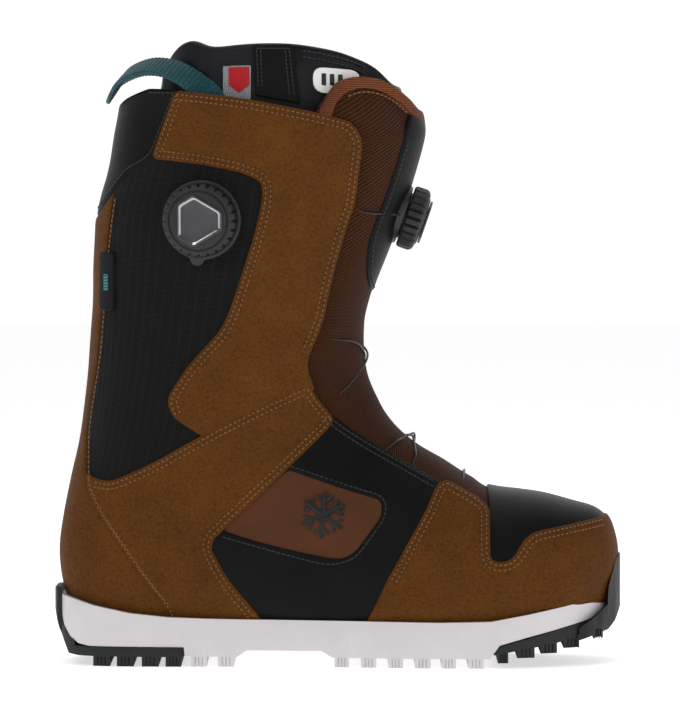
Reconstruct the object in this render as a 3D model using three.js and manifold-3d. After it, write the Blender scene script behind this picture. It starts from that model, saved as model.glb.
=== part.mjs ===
// A right snowboard boot with two dial-and-lace closures, in millimetres.
// +X runs towards the toe, +Z up and -Y towards the outer side. The origin lies on the ground plane,
// under the middle of the sole.
import * as THREE from "three";
import { mergeVertices } from "three/addons/utils/BufferGeometryUtils.js";
import Module from "manifold-3d";

const wasm = await Module();
wasm.setup();

// ---- Driving dimensions ----
const play = 0.3; // between pieces that are stacked, sewn or seated
const panelThickness = 2.2;
const liningThickness = 2.5;
const wingThickness = 0.8;
const wingReach = 9; // how far the tongue's edges run under the panels
const harnessThickness = 1.5;
const linerThickness = 5.8;
const foamThickness = 4.2;
const footbedThickness = 4.7;
const swingRoom = 0.5; // extra gap beside the part of the tongue that swings
const hingeHeight = 196; // the crease that the tongue opens about
const panelFoot = 20.5; // lower edge of the upper panels, inside the sole's cup
const liningFoot = 25;
const laceRadius = 0.55;
const laceClearance = 0.3;
const treadGrooveWidth = 4;
const treadGrooveDepth = 4;
const treadGrooveOffset = 18;
const bumperThickness = 2.4;
const heelBumperHalfWidth = 26;
const toeBumperHalfWidth = 40;
const loopWidth = 15;
const loopThickness = 1.6;
const around = 16; // facets round one section of the boot

const sideDial = {
  knobRadius: 19.5, baseRadius: 18.5, wallRadius: 14.5, spoolRadius: 11.6, bossRadius: 6,
};
const tongueDial = {
  knobRadius: 17, baseRadius: 15.5, wallRadius: 12.5, spoolRadius: 9.8, bossRadius: 0,
};
const dialStack = {
  flangeTop: 2, wallTop: 6.6, spoolFloor: 2.4, spoolTop: 6, discFloor: 7, discTop: 8.2,
  knobFloor: 2.8, cavityTop: 8.6, knobTop: 12.8, headFloor: 11, headTop: 12.2, capTop: 14.4,
  screwRadius: 2.2, headRadius: 4.6, wellDepth: 9, toothDepth: 0.8, teeth: 24,
};

// ---- The boot's body ----
// Sections from the toe tip to above the collar: front or top point, back or bottom point, half width,
// where between the two the section is widest, squareness of its two halves, shift to the inner side.
const sections = [
  [148.5, 54, 148.5, 46, 2, 0.5, 2, 2, 5],
  [147.2, 66, 147, 37, 13, 0.5, 2.1, 2.4, 5],
  [143.5, 76, 143, 30.5, 22, 0.52, 2.2, 2.8, 4.5],
  [137, 81.8, 136, 25.5, 30, 0.55, 2.2, 3.2, 3.8],
  [126, 85.6, 125, 21.5, 38.5, 0.58, 2.2, 3.6, 2.5],
  [112, 89.2, 110, 19, 45, 0.6, 2.2, 4, 1],
  [80, 94.2, 72, 18, 51.5, 0.62, 2.1, 4.5, -1.2],
  [68, 100, 50, 18, 51.5, 0.63, 2.1, 4.5, -1.8],
  [55.5, 108, 25, 18, 49.5, 0.63, 2.1, 4.5, -2.3],
  [42.5, 115.5, -5, 18, 46.5, 0.63, 2.1, 4.4, -2.7],
  [25, 132.5, -72, 18, 42.5, 0.61, 2.1, 3.8, -2.2],
  [20.5, 141, -106, 18, 42.5, 0.59, 2.1, 3.3, -1.5],
  [17, 148.5, -133, 22, 43, 0.57, 2.1, 2.9, -0.9],
  [15, 154, -144.5, 36, 43.5, 0.55, 2.1, 2.5, -0.5],
  [13.8, 159.5, -148.3, 55, 44, 0.53, 2.1, 2.3, -0.3],
  [13.3, 174, -141.6, 100, 45, 0.51, 2.1, 2.2, 0],
  [14.5, 186, -136.5, 125, 45.5, 0.5, 2.2, 2.2, 0],
  [26, 220, -130.8, 187, 48, 0.5, 2.2, 2.2, 0],
  [33.5, 240, -130, 214, 49.5, 0.5, 2.2, 2.2, 0],
  [39.5, 259, -128.5, 238, 51, 0.5, 2.2, 2.2, 0],
  [44, 275, -123, 260, 52, 0.5, 2.2, 2.2, 0],
  [45.3, 284, -119.5, 278, 52.5, 0.5, 2.2, 2.2, 0],
  [43.5, 296, -116.5, 297, 53, 0.5, 2.2, 2.2, 0],
  [42, 325, -115.5, 330, 53, 0.5, 2.2, 2.2, 0],
].map(([frontX, frontZ, backX, backZ, half, belly, roundFront, roundBack, shift]) => ({
  front: [frontX, frontZ], back: [backX, backZ], half, belly, roundFront, roundBack, shift,
}));

// The liner leaves the shell above the ankle and stands out of the collar.
const linerLast = 18; // the last section that the liner shares with the shell
const linerTop = [
  [31.5, 259, -118, 246, 44.5],
  [35.5, 276, -109, 270, 45],
  [36.5, 292, -101, 291, 44.5],
  [33.5, 306, -95.5, 306, 44],
  [29, 320, -93.5, 320, 43.5],
  [24, 336, -92, 336, 43],
].map(([frontX, frontZ, backX, backZ, half]) => ({
  front: [frontX, frontZ], back: [backX, backZ], half, belly: 0.5, roundFront: 2.2, roundBack: 2.2, shift: 0,
}));

// Unit vector across the line from a to b, turned to the side given by the sign.
function across(a, b, sign) {
  const dx = b[0] - a[0];
  const dz = b[1] - a[1];
  const length = Math.hypot(dx, dz) || 1;
  return [(sign * dz) / length, (-sign * dx) / length];
}

// The same sections, drawn in by a depth.
function drawnIn(list, depth) {
  return list.map((here, i) => {
    const before = list[Math.max(i - 1, 0)];
    const after = list[Math.min(i + 1, list.length - 1)];
    const outFront = across(before.front, after.front, 1);
    const outBack = across(before.back, after.back, -1);
    const run = Math.hypot(
      (after.front[0] + after.back[0] - before.front[0] - before.back[0]) / 2,
      (after.front[1] + after.back[1] - before.front[1] - before.back[1]) / 2,
    );
    const lean = run / Math.hypot(run, after.half - before.half);
    return {
      ...here,
      front: [here.front[0] - depth * outFront[0], here.front[1] - depth * outFront[1]],
      back: [here.back[0] - depth * outBack[0], here.back[1] - depth * outBack[1]],
      half: Math.max(here.half - depth * lean, 1),
    };
  });
}

// A point of one section, by its angle from the front.
function sectionPoint(section, angle) {
  const c = Math.cos(angle);
  const s = Math.sin(angle);
  const power = 2 / (c > 0 ? section.roundFront : section.roundBack);
  const along = Math.abs(c) ** power;
  const out = Math.sign(s) * Math.abs(s) ** power * section.half;
  const { front, back, belly } = section;
  const middle = [front[0] + belly * (back[0] - front[0]), front[1] + belly * (back[1] - front[1])];
  const end = c > 0 ? front : back;
  return new THREE.Vector3(
    middle[0] + along * (end[0] - middle[0]),
    section.shift - out,
    middle[1] + along * (end[1] - middle[1]),
  );
}

// The closed solid that a list of sections encloses.
function loft(list) {
  const corners = [];
  const faces = [];
  for (const section of list) {
    for (let j = 0; j < around; j += 1) {
      corners.push(...sectionPoint(section, (2 * Math.PI * j) / around).toArray());
    }
  }
  for (let i = 0; i + 1 < list.length; i += 1) {
    for (let j = 0; j < around; j += 1) {
      const next = (j + 1) % around;
      const a = i * around + j;
      const b = i * around + next;
      faces.push(a, b, a + around, b, b + around, a + around);
    }
  }
  for (const [ring, turned] of [[0, true], [list.length - 1, false]]) {
    for (let j = 1; j + 1 < around; j += 1) {
      const base = ring * around;
      faces.push(base, base + (turned ? j + 1 : j), base + (turned ? j : j + 1));
    }
  }
  const solid = new wasm.Manifold(
    new wasm.Mesh({
      numProp: 3, vertProperties: new Float32Array(corners), triVerts: new Uint32Array(faces),
    }),
  );
  if (solid.volume() > 0) return solid;
  for (let i = 0; i < faces.length; i += 3) {
    [faces[i + 1], faces[i + 2]] = [faces[i + 2], faces[i + 1]];
  }
  return new wasm.Manifold(
    new wasm.Mesh({
      numProp: 3, vertProperties: new Float32Array(corners), triVerts: new Uint32Array(faces),
    }),
  );
}

const bodies = new Map();
function body(depth) {
  if (!bodies.has(depth)) bodies.set(depth, loft(drawnIn(sections, depth)));
  return bodies.get(depth);
}
const layer = (outer, inner) => body(outer).subtract(body(inner));

// ---- Solids and geometries ----
function toSolid(geometry) {
  const bare = geometry.clone();
  bare.deleteAttribute("normal");
  bare.deleteAttribute("uv");
  const merged = mergeVertices(bare, 1e-4);
  return new wasm.Manifold(
    new wasm.Mesh({
      numProp: 3,
      vertProperties: merged.attributes.position.array,
      triVerts: new Uint32Array(merged.index.array),
    }),
  );
}

function toGeometry(solid) {
  const mesh = solid.getMesh();
  const geometry = new THREE.BufferGeometry();
  geometry.setAttribute("position", new THREE.Float32BufferAttribute(mesh.vertProperties, 3));
  geometry.setIndex(Array.from(mesh.triVerts));
  geometry.computeVertexNormals();
  return geometry;
}

function slab(lowX, highX, lowY, highY, lowZ, highZ) {
  const geometry = new THREE.BoxGeometry(highX - lowX, highY - lowY, highZ - lowZ);
  geometry.translate((lowX + highX) / 2, (lowY + highY) / 2, (lowZ + highZ) / 2);
  return toSolid(geometry);
}

const farOut = 400;
const outerHalf = slab(-farOut, farOut, -farOut, 0, -farOut, farOut);
const innerHalf = slab(-farOut, farOut, 0, farOut, -farOut, farOut);

// A side-view outline of [x, z] or [x, z, fillet radius] points as a shape.
function shapeOf(outline) {
  const shape = new THREE.Shape();
  outline.forEach(([x, z, radius], i) => {
    const here = new THREE.Vector2(x, z);
    const before = outline[(i + outline.length - 1) % outline.length];
    const after = outline[(i + 1) % outline.length];
    const back = new THREE.Vector2(before[0] - x, before[1] - z);
    const ahead = new THREE.Vector2(after[0] - x, after[1] - z);
    const cut = Math.min(radius ?? 0, back.length() * 0.45, ahead.length() * 0.45);
    const start = here.clone().addScaledVector(back.normalize(), cut);
    const end = here.clone().addScaledVector(ahead.normalize(), cut);
    if (i === 0) shape.moveTo(start.x, start.y);
    else shape.lineTo(start.x, start.y);
    if (cut > 0) shape.quadraticCurveTo(x, z, end.x, end.y);
  });
  shape.closePath();
  return shape;
}

// The outline run straight through the boot from side to side.
function through(outline, lowY = -120, highY = 120) {
  const geometry = new THREE.ExtrudeGeometry(shapeOf(outline), {
    depth: highY - lowY, bevelEnabled: false, curveSegments: 3,
  });
  geometry.rotateX(Math.PI / 2);
  geometry.translate(0, highY, 0);
  return toSolid(geometry);
}

// The outline moved outwards by a distance, or inwards by a negative one.
function grown(outline, distance) {
  const turn = Math.sign(
    outline.reduce((sum, [x, z], i) => {
      const [nextX, nextZ] = outline[(i + 1) % outline.length];
      return sum + x * nextZ - nextX * z;
    }, 0),
  );
  return outline.map((here, i) => {
    const before = outline[(i + outline.length - 1) % outline.length];
    const after = outline[(i + 1) % outline.length];
    const first = across(before, here, turn);
    const second = across(here, after, turn);
    const share = distance / Math.max(1 + first[0] * second[0] + first[1] * second[1], 0.3);
    return [here[0] + share * (first[0] + second[0]), here[1] + share * (first[1] + second[1]), here[2]];
  });
}

const leather = { color: "#7a4d20", roughness: 0.62 };
const black = { color: "#1d1e21", roughness: 0.55 };
const textile = { color: "#4b3021", roughness: 0.85 };
const rubber = { color: "#1c1d1f", roughness: 0.7 };
const moulded = { color: "#18191b", roughness: 0.35 };

const boot = new THREE.Group();
function add(name, shape, look, parent = boot) {
  const material = new THREE.MeshStandardMaterial({ metalness: 0, ...look });
  const mesh = new THREE.Mesh(shape.isBufferGeometry ? shape : toGeometry(shape), material);
  mesh.name = name;
  parent.add(mesh);
  return mesh;
}

// The largest piece of a solid, without the slivers that a cut leaves.
function main(solid) {
  return solid.decompose().sort((a, b) => b.volume() - a.volume())[0];
}

// ---- Outlines of the panels, seen from the side ----
const toeCapOutline = [
  [10.5, panelFoot], [25.5, 46.5], [46, 83.5], [51.5, 96, 3], [56.5, 98, 3], [73, 89, 3], [79.5, 83.5, 3],
  [79.5, 56, 12], [90.5, 56, 6], [99, 70.5, 8], [140.5, 77.5], [161, 82], [161, panelFoot],
];
const vampOutline = [[79.5, 120], [79.5, 84], [77, 70], [77, 50], [100, 50], [161, 74], [161, 120]];
const heelStrapOutline = [
  [-134, 102], [-129, 99], [-120.5, 97.5, 4], [-101.5, 106], [-69.5, 124], [-43.5, 137.5], [-16.5, 149.5],
  [-11, 140.5], [-2.5, 130.5], [-5.5, 125.5], [-26, 105.5], [-61.5, 72], [-68.5, 65, 8], [-59, 46.5],
  [-42.5, 27.5], [-37.5, panelFoot], [-86, panelFoot], [-91, 30.5], [-104, 46.5], [-126, 78.5], [-133, 92],
];
const backStayOutline = [
  [-129.5, 235.5], [-116, 254.5], [-119.5, 248], [-122.5, 227], [-125, 196.5], [-127.5, 164], [-130, 149.5],
  [-134, 123.5], [-134, 102], [-133, 92], [-126, 78.5], [-104, 46.5], [-91, 30.5], [-86, panelFoot],
  [-168, panelFoot], [-168, 235.5],
];
const gaiterOutline = [
  [-118, 298.5], [-108.5, 302], [-100.5, 305.5], [-86, 304], [-99, 268], [-110.5, 261.5], [-116, 254.5],
  [-129.5, 235.5], [-152, 235.5], [-152, 298.5],
];
const cuffOutline = [
  [-86, 304], [-47, 299.5], [-10, 292], [7, 287.5, 4], [12.5, 278, 4], [10, 258], [8, 243], [5, 236],
  [-4, 204.5], [-8.5, 181.5], [-15.5, 165.5], [-17, 158], [-16.5, 149.5], [-43.5, 137.5], [-69.5, 124],
  [-87.5, 131.5, 6], [-91, 141, 6], [-83, 154.5], [-74.5, 165], [-62.5, 177.5], [-56.5, 191], [-45, 227],
  [-40.5, 246.5], [-40.5, 256, 5], [-52, 261], [-72, 265], [-99, 268],
];
const cuffPanelOutline = [
  [-99, 268], [-35, 262], [-35, 240], [-50, 185], [-60, 170], [-85, 120], [-101.5, 106], [-120.5, 97.5],
  [-136, 101], [-136, 150], [-126, 215], [-119, 252], [-110.5, 261.5],
];
const quarterOutline = [
  [-11, 140.5], [-1.5, 130.5], [14, 120], [51.5, 98.5], [60, 90], [20, panelFoot], [-50, panelFoot],
  [-75, 60], [-30, 110],
];
const windowOutline = [
  [-26, 105], [2, 94], [22.5, 88, 6], [22.5, 80, 5], [7, 59, 6], [-5.5, 56, 8], [-29.5, 62], [-62, 71.5],
];
const emblemOutline = [[-16.5, 96.5], [9, 85.5], [0, 64], [-25.5, 76]];
const tongueOutline = [
  [79.2, 125], [79.2, 84], [73, 89], [56.5, 98], [51.5, 98.5], [14, 120], [-1.5, 130.5], [-11, 140.5],
  [-16.5, 149.5], [-17, 158], [-15.5, 165.5], [-8.5, 181.5], [-4, 204.5], [5, 236], [8, 243], [10, 258],
  [12.5, 278, 4], [7, 287.5, 4], [-10, 292], [-9, 295.5], [-5.5, 301.5], [-0.5, 307.5, 4], [11, 310.5, 6],
  [24.5, 308], [40, 300, 5], [46, 292], [66, 280], [45, 175], [95, 135],
];
const bindingOutline = [
  [-10.5, 292], [-9, 295.5], [-5.5, 301.5], [-0.5, 307.5, 4], [11, 310.5, 6], [24.5, 308], [40, 300, 5],
  [46, 292], [66, 286], [66, 281], [44, 286], [37, 292.5], [24, 300.6, 6], [13, 303, 6], [3.5, 299.5],
  [-2, 294], [-3, 290],
];
const shieldOutline = [
  [37, 292], [34, 278], [26, 252], [15.5, 225.5, 8], [14.5, 207], [16.5, hingeHeight + 2],
  [66, hingeHeight + 2], [66, 287], [44, 286],
];
const collarOutline = [
  [-160, liningFoot], [-160, 297.5], [-118, 297.5], [-108.5, 301], [-100.5, 304.5], [-86, 303], [-47, 298.5],
  [-10, 291], [7, 286.5], [66, 280], [161, liningFoot],
];
const harnessOutline = [[-85, 118], [-70, 100], [-20, 120], [45, 130], [45, 192], [-5, 187], [-45, 152]];
const linerOutline = [
  [-96, 306.5], [-93.5, 317, 4], [-86, 328.5, 5], [-77.5, 331.5, 6], [-69.5, 326.5, 3], [-45.5, 329],
  [-24, 329], [0, 325], [12.5, 320.5], [22, 316, 5], [28, 308, 3], [60, 300], [60, 140], [160, 100],
  [160, 10], [-160, 10], [-160, 306.5],
];
const linerFrontOutline = [[60, 345], [60, 150], [5, 150], [-3, 200], [8, 250], [-4, 300], [-22, 345]];

// ---- Lower edge and sole ----
const solePlan = [
  [-149, 0], [-145, -22], [-130, -36], [-105, -41], [-70, -42.5], [-35, -43.5], [0, -46.5], [30, -51.5],
  [60, -54.5], [85, -53.5], [110, -46], [130, -32], [142, -14], [146, 4], [143, 22], [130, 37], [110, 46.5],
  [85, 51], [60, 50.5], [35, 47], [10, 42.5], [-20, 39.5], [-50, 38.5], [-80, 39], [-110, 39],
  [-132, 34.5], [-145, 21],
];

// The sole's plan, moved outwards by a distance, as a straight column.
function soleColumn(distance, lowZ, highZ) {
  const curve = new THREE.CatmullRomCurve3(
    grown(solePlan, distance).map(([x, y]) => new THREE.Vector3(x, y, 0)),
    true,
  );
  const points = curve.getPoints(52).slice(0, -1);
  const geometry = new THREE.ExtrudeGeometry(
    new THREE.Shape(points.map((p) => new THREE.Vector2(p.x, p.y))),
    { depth: highZ - lowZ, bevelEnabled: false },
  );
  geometry.translate(0, 0, lowZ);
  return toSolid(geometry);
}

// Lugs from the toe end to the heel end: [low x, high x, height of the foot above the ground].
const lugDepth = 5;
const midsoleLugs = [
  [68, 76.2, 0], [54, 61.6, 0], [40, 48.2, 0], [26, 33.7, 0], [11.6, 19.6, 0], [-2.4, 5.3, 0],
  [-64, -55.3, 0], [-78.2, -69.8, 0],
];
const heelLugs = [[-91.6, -83.4, 0], [-104.2, -95.3, 0], [-117.4, -108.5, 0], [-130, -121, 0]];
const toeLugs = [
  [134.6, 140, 14.2], [118.5, 127, 9.8], [106.2, 115, 7.4], [93.7, 103, 5.3], [83.6, 89, 2.7],
];
const midsoleOutline = [
  [-152, 36.5], [-147, 36.5], [-130.5, 32], [-110.5, 28], [-90.5, 26], [-52, 25], [53, 24], [80, 24.5],
  [100, 28], [120.5, 32], [142.5, 36.5], [142.5, 32, 3], [133.5, 24.5], [113.5, 19.5], [84.5, 12],
  [79.5, 5], [-3.5, lugDepth], [-9.5, 8.5], [-48.6, 8.6], [-54, lugDepth], [-81.5, 5.5], [-82, 10.3],
  [-152, 10.3],
];
const heelPodOutline = [
  [-82.5, 10], [-82.5, lugDepth], [-138, 5.2], [-143.5, 6], [-149, 19], [-152, 33], [-152, 41],
  [-140, 41], [-140, 10.2],
];
const toePodOutline = [
  [142.8, 36.5], [143.3, 42], [145, 48], [148.6, 57.5], [153, 57.5], [153, 36], [149.5, 30], [147, 23],
  [143, 19.5], [134.6, 18.8], [127, 15.2], [115, 12.8], [103, 10.6], [89, 8.2], [81.3, 6.9],
  [84.9, 11.4], [113.6, 19.1], [133.8, 24.1], [142.8, 31.6],
];

function lugsOf(list) {
  return wasm.Manifold.union(
    list.map(([low, high, foot]) => slab(low, high, -90, 90, foot, foot + lugDepth + 1.5)),
  );
}

function addSole() {
  const hollow = body(-play);
  const grooves = [-treadGrooveOffset, treadGrooveOffset].map((y) =>
    slab(-160, 160, y - treadGrooveWidth / 2, y + treadGrooveWidth / 2, -1, treadGrooveDepth),
  );
  const tread = (solid) => main(grooves.reduce((rest, groove) => rest.subtract(groove), solid));
  const column = soleColumn(0, -1, 60);
  const profile = (outline, lugs) => through(outline).add(lugsOf(lugs));
  const midsole = column.intersect(profile(midsoleOutline, midsoleLugs)).subtract(hollow);
  add("midsole", tread(midsole), { color: "#dcd8dc", roughness: 0.6 });

  const wide = soleColumn(bumperThickness, -1, 60);
  const heelPod = profile(heelPodOutline, heelLugs);
  const heelFoot = column.intersect(heelPod).intersect(slab(-160, -80, -90, 90, -5, 10));
  const heelSpan = slab(-160, -138, -heelBumperHalfWidth, heelBumperHalfWidth, -5, 70);
  const heelBumper = wide.intersect(heelPod).intersect(heelSpan).subtract(soleColumn(play, 10.1, 70));
  add("heel_outsole", tread(heelFoot.add(heelBumper)), rubber);

  const toePod = profile(toePodOutline, toeLugs);
  const toeFoot = column.intersect(toePod).intersect(slab(78, 142.4, -90, 90, -5, 36));
  const toeSpan = slab(118, 160, -toeBumperHalfWidth, toeBumperHalfWidth, -5, 70);
  const toeBumper = wide.intersect(toePod).intersect(toeSpan).subtract(soleColumn(play, 31, 36.8));
  add("toe_outsole", tread(toeFoot.add(toeBumper).subtract(hollow)), rubber);

  const board = body(0).intersect(slab(-160, 160, -90, 90, 10, panelFoot - play));
  add("lasting_board", main(board), { color: "#8d8676", roughness: 0.9 });
  const foamTop = panelFoot + foamThickness;
  const foam = body(panelThickness + play).intersect(slab(-160, 160, -90, 90, panelFoot, foamTop));
  add("underfoot_foam", main(foam), { color: "#3d4046", roughness: 0.95 });
}

// ---- Lace ----
// Where a side-view point lies on the body: the section and the angle from the front.
function locate(x, z) {
  const sideOf = (section) => {
    const { front, back } = section;
    return (back[0] - front[0]) * (z - front[1]) - (back[1] - front[1]) * (x - front[0]);
  };
  let i = 0;
  while (i + 2 < sections.length && sideOf(sections[i]) * sideOf(sections[i + 1]) > 0) i += 1;
  const low = sideOf(sections[i]);
  const share = low / (low - sideOf(sections[i + 1]));
  const section = between(sections, i + share);
  const { front, back, belly } = section;
  const length = Math.hypot(back[0] - front[0], back[1] - front[1]);
  const reach = ((x - front[0]) * (back[0] - front[0]) + (z - front[1]) * (back[1] - front[1])) / length ** 2;
  const ahead = reach < belly;
  const along = ahead ? 1 - reach / belly : (reach - belly) / (1 - belly);
  const cosine = along ** ((ahead ? section.roundFront : section.roundBack) / 2);
  return { station: i + share, angle: Math.acos(ahead ? cosine : -cosine) };
}

function between(list, station) {
  const i = Math.min(Math.floor(station), list.length - 2);
  const share = station - i;
  const mix = (a, b) => a + share * (b - a);
  const [a, b] = [list[i], list[i + 1]];
  return {
    front: [mix(a.front[0], b.front[0]), mix(a.front[1], b.front[1])],
    back: [mix(a.back[0], b.back[0]), mix(a.back[1], b.back[1])],
    half: mix(a.half, b.half),
    belly: mix(a.belly, b.belly),
    roundFront: mix(a.roundFront, b.roundFront),
    roundBack: mix(a.roundBack, b.roundBack),
    shift: mix(a.shift, b.shift),
  };
}

// A point on the faceted surface at a depth; negative angles lie on the inner side.
function skin(station, angle, depth) {
  const list = drawnIn(sections, depth);
  const step = (2 * Math.PI) / around;
  const facet = Math.floor(angle / step);
  const share = angle / step - facet;
  const section = between(list, station);
  return sectionPoint(section, facet * step).lerp(sectionPoint(section, (facet + 1) * step), share);
}

// Points at a depth under the surface, along a route through side-view stops [x, z, side].
function routed(stops, depth, perSpan = 4) {
  const places = stops.map(([x, z, side]) => {
    const { station, angle } = locate(x, z);
    return { station, angle: side * angle };
  });
  const points = [];
  places.forEach((here, i) => {
    const next = places[i + 1] ?? here;
    const turn = next.angle - here.angle;
    const swing = turn < -Math.PI ? turn + 2 * Math.PI : turn;
    const count = i + 1 < places.length ? perSpan : 1;
    for (let k = 0; k < count; k += 1) {
      const share = k / count;
      const station = here.station + share * (next.station - here.station);
      points.push(skin(station, here.angle + share * swing, depth));
    }
  });
  return points;
}

// The outward direction of the surface at a side-view point of the outer side.
function outward(station, angle) {
  const alongBoot = skin(station + 0.3, angle, 0).sub(skin(station - 0.3, angle, 0));
  const aroundBoot = skin(station, angle + 0.2, 0).sub(skin(station, angle - 0.2, 0));
  const normal = alongBoot.cross(aroundBoot).normalize();
  const middle = sectionPoint(between(sections, station), Math.PI / 2).setY(0);
  const out = skin(station, angle, 0).sub(middle);
  return normal.dot(out) < 0 ? normal.negate() : normal;
}

const underPanel = panelThickness + laceRadius + laceClearance + 0.15;
const overTongue = -(laceRadius + laceClearance + 0.25);

// The lace between two side-view points on opposite sides, lying over the tongue.
function overTheTongue(from, to, side, lift) {
  const a = locate(...from);
  const b = locate(...to);
  return [0.12, 0.3, 0.5, 0.7, 0.88].map((share) => {
    const station = a.station + share * (b.station - a.station);
    const angle = side * (a.angle - share * (a.angle + b.angle));
    const raised = Math.abs(share - 0.5) < 0.1 ? lift : 0;
    return skin(station, angle, overTongue - raised);
  });
}

const laceExits = {
  top: [7.5, 241], ankleHigh: [-10.5, 174], ankleLow: [-5.5, 137], instepHigh: [21, 114.5],
  instepLow: [39, 104], toe: [64, 92.5],
};
const tunnel = {
  cuff: [[3, 238], [-5.5, 212], [-12.5, 188]],
  ankle: [[-9.5, 131.5], [2, 122]],
  instep: [[45, 96], [54.5, 92.8]],
};

function lacePath(dialPort) {
  const { top, ankleHigh, ankleLow, instepHigh, instepLow, toe } = laceExits;
  const hidden = (stops, side) => routed(stops.map(([x, z]) => [x, z, side]), underPanel);
  const half = (side, lift) => [
    dialPort(side),
    ...routed([[14, 240, side]], overTongue),
    ...hidden([top, ...tunnel.cuff, ankleHigh], side),
    ...overTheTongue(ankleHigh, ankleLow, side, lift),
    ...hidden([ankleLow, ...tunnel.ankle, instepHigh], -side),
    ...overTheTongue(instepHigh, instepLow, -side, lift),
    ...hidden([instepLow, ...tunnel.instep, toe], side),
  ];
  const crossing = 1.7;
  const firstHalf = half(1, 0);
  const secondHalf = half(-1, crossing).reverse();
  return [...firstHalf, ...overTheTongue(toe, toe, 1, 0).slice(1, 4), ...secondHalf];
}

function tube(points, radius, steps, sides = 6) {
  const section = new THREE.Shape(
    Array.from({ length: sides }, (_, i) => {
      const angle = (i * 2 * Math.PI) / sides;
      return new THREE.Vector2(radius * Math.cos(angle), radius * Math.sin(angle));
    }),
  );
  const path = new THREE.CatmullRomCurve3(points, false, "centripetal");
  return new THREE.ExtrudeGeometry(section, { steps, bevelEnabled: false, extrudePath: path });
}

// ---- Dials ----
function ring(points, segments = 20) {
  const profile = [...points, points[0]].map(([r, z]) => new THREE.Vector2(r, z));
  const geometry = new THREE.LatheGeometry(profile, segments);
  geometry.rotateX(Math.PI / 2);
  const solid = toSolid(geometry);
  return solid.volume() > 0 ? solid : toSolid(flipped(geometry));
}

function flipped(geometry) {
  const index = geometry.index.array;
  for (let i = 0; i < index.length; i += 3) {
    [index[i + 1], index[i + 2]] = [index[i + 2], index[i + 1]];
  }
  return geometry;
}

const knobGeometry = (dial) => {
  const s = dialStack;
  const rim = Array.from({ length: s.teeth * 2 }, (_, i) => {
    const radius = dial.knobRadius - (i % 2) * s.toothDepth;
    const angle = (i * Math.PI) / s.teeth;
    return new THREE.Vector2(radius * Math.cos(angle), radius * Math.sin(angle));
  });
  const outside = new THREE.ExtrudeGeometry(new THREE.Shape(rim), {
    depth: s.knobTop - s.knobFloor, bevelEnabled: false,
  });
  outside.translate(0, 0, s.knobFloor);
  const cavity = ring([
    [0, s.knobFloor - 1], [dial.wallRadius + 0.5, s.knobFloor - 1], [dial.wallRadius + 0.5, s.cavityTop],
    [s.headRadius + 0.5, s.cavityTop], [s.headRadius + 0.5, s.knobTop + 1], [0, s.knobTop + 1],
  ]);
  return toSolid(outside).subtract(cavity);
};

// A three-sided cap with cut corners, over the screw.
function capGeometry(dial) {
  const s = dialStack;
  const reach = dial.knobRadius * 0.72;
  const corners = Array.from({ length: 6 }, (_, i) => {
    const angle = Math.PI / 2 + Math.floor(i / 2) * ((2 * Math.PI) / 3) + (i % 2 ? 0.36 : -0.36);
    return new THREE.Vector2(reach * Math.cos(angle), reach * Math.sin(angle));
  });
  const geometry = new THREE.ExtrudeGeometry(new THREE.Shape(corners), {
    depth: s.capTop - s.knobTop - play, bevelEnabled: false,
  });
  geometry.translate(0, 0, s.knobTop + play);
  return geometry;
}

function addDial(name, dial, place) {
  const s = dialStack;
  const holder = new THREE.Group();
  holder.applyMatrix4(place);
  boot.add(holder);
  const inWorld = (solid) => toSolid(toGeometry(solid).applyMatrix4(place));
  const inHolder = (solid) => toGeometry(solid).applyMatrix4(place.clone().invert());

  const boreRadius = s.screwRadius + play;
  const seat = ring([
    [boreRadius, -s.wellDepth], [dial.baseRadius, -s.wellDepth], [dial.baseRadius, s.flangeTop],
    [dial.wallRadius, s.flangeTop], [dial.wallRadius, s.wallTop], [dial.spoolRadius + play, s.wallTop],
    [dial.spoolRadius + play, s.flangeTop], [boreRadius, s.flangeTop],
  ]);
  let base = inWorld(seat).subtract(body(-play));
  if (dial.bossRadius > 0) {
    const boss = inWorld(ring([
      [boreRadius, -5.4], [dial.bossRadius, -5.4], [dial.bossRadius, 1], [boreRadius, 1],
    ]));
    base = base.add(boss);
  }
  add(`${name}_base`, inHolder(main(base)), moulded, holder);
  const spool = ring([
    [boreRadius, s.spoolFloor], [dial.spoolRadius, s.spoolFloor], [dial.spoolRadius, s.spoolFloor + 0.8],
    [dial.spoolRadius - 2.5, s.spoolFloor + 1.2], [dial.spoolRadius - 2.5, s.spoolTop - 1.2],
    [dial.spoolRadius, s.spoolTop - 0.8], [dial.spoolRadius, s.spoolTop], [boreRadius, s.spoolTop],
  ], 14);
  add(`${name}_spool`, spool, { color: "#c8c9c4", roughness: 0.4 }, holder);
  const disc = ring([
    [boreRadius, s.discFloor], [dial.spoolRadius, s.discFloor], [dial.spoolRadius, s.discTop],
    [boreRadius, s.discTop],
  ], 16);
  add(`${name}_drive_disc`, disc, { color: "#b9bbbd", roughness: 0.4 }, holder);
  const screw = ring([
    [0, -1.5], [s.screwRadius, -1.5], [s.screwRadius, s.headFloor], [s.headRadius, s.headFloor],
    [s.headRadius, s.headTop], [0, s.headTop],
  ], 14);
  add(`${name}_screw`, screw, { color: "#9a9c9f", roughness: 0.3, metalness: 1 }, holder);
  add(`${name}_knob`, knobGeometry(dial), moulded, holder);
  add(`${name}_cap`, capGeometry(dial), { color: "#2a2b2e", roughness: 0.25 }, holder);
}

// The frame of a dial that stands on the surface at a side-view point.
function dialPlace(x, z, side) {
  const { station, angle } = locate(x, z);
  const normal = outward(station, side * angle);
  return frameOf(skin(station, side * angle, 0), normal);
}

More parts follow.
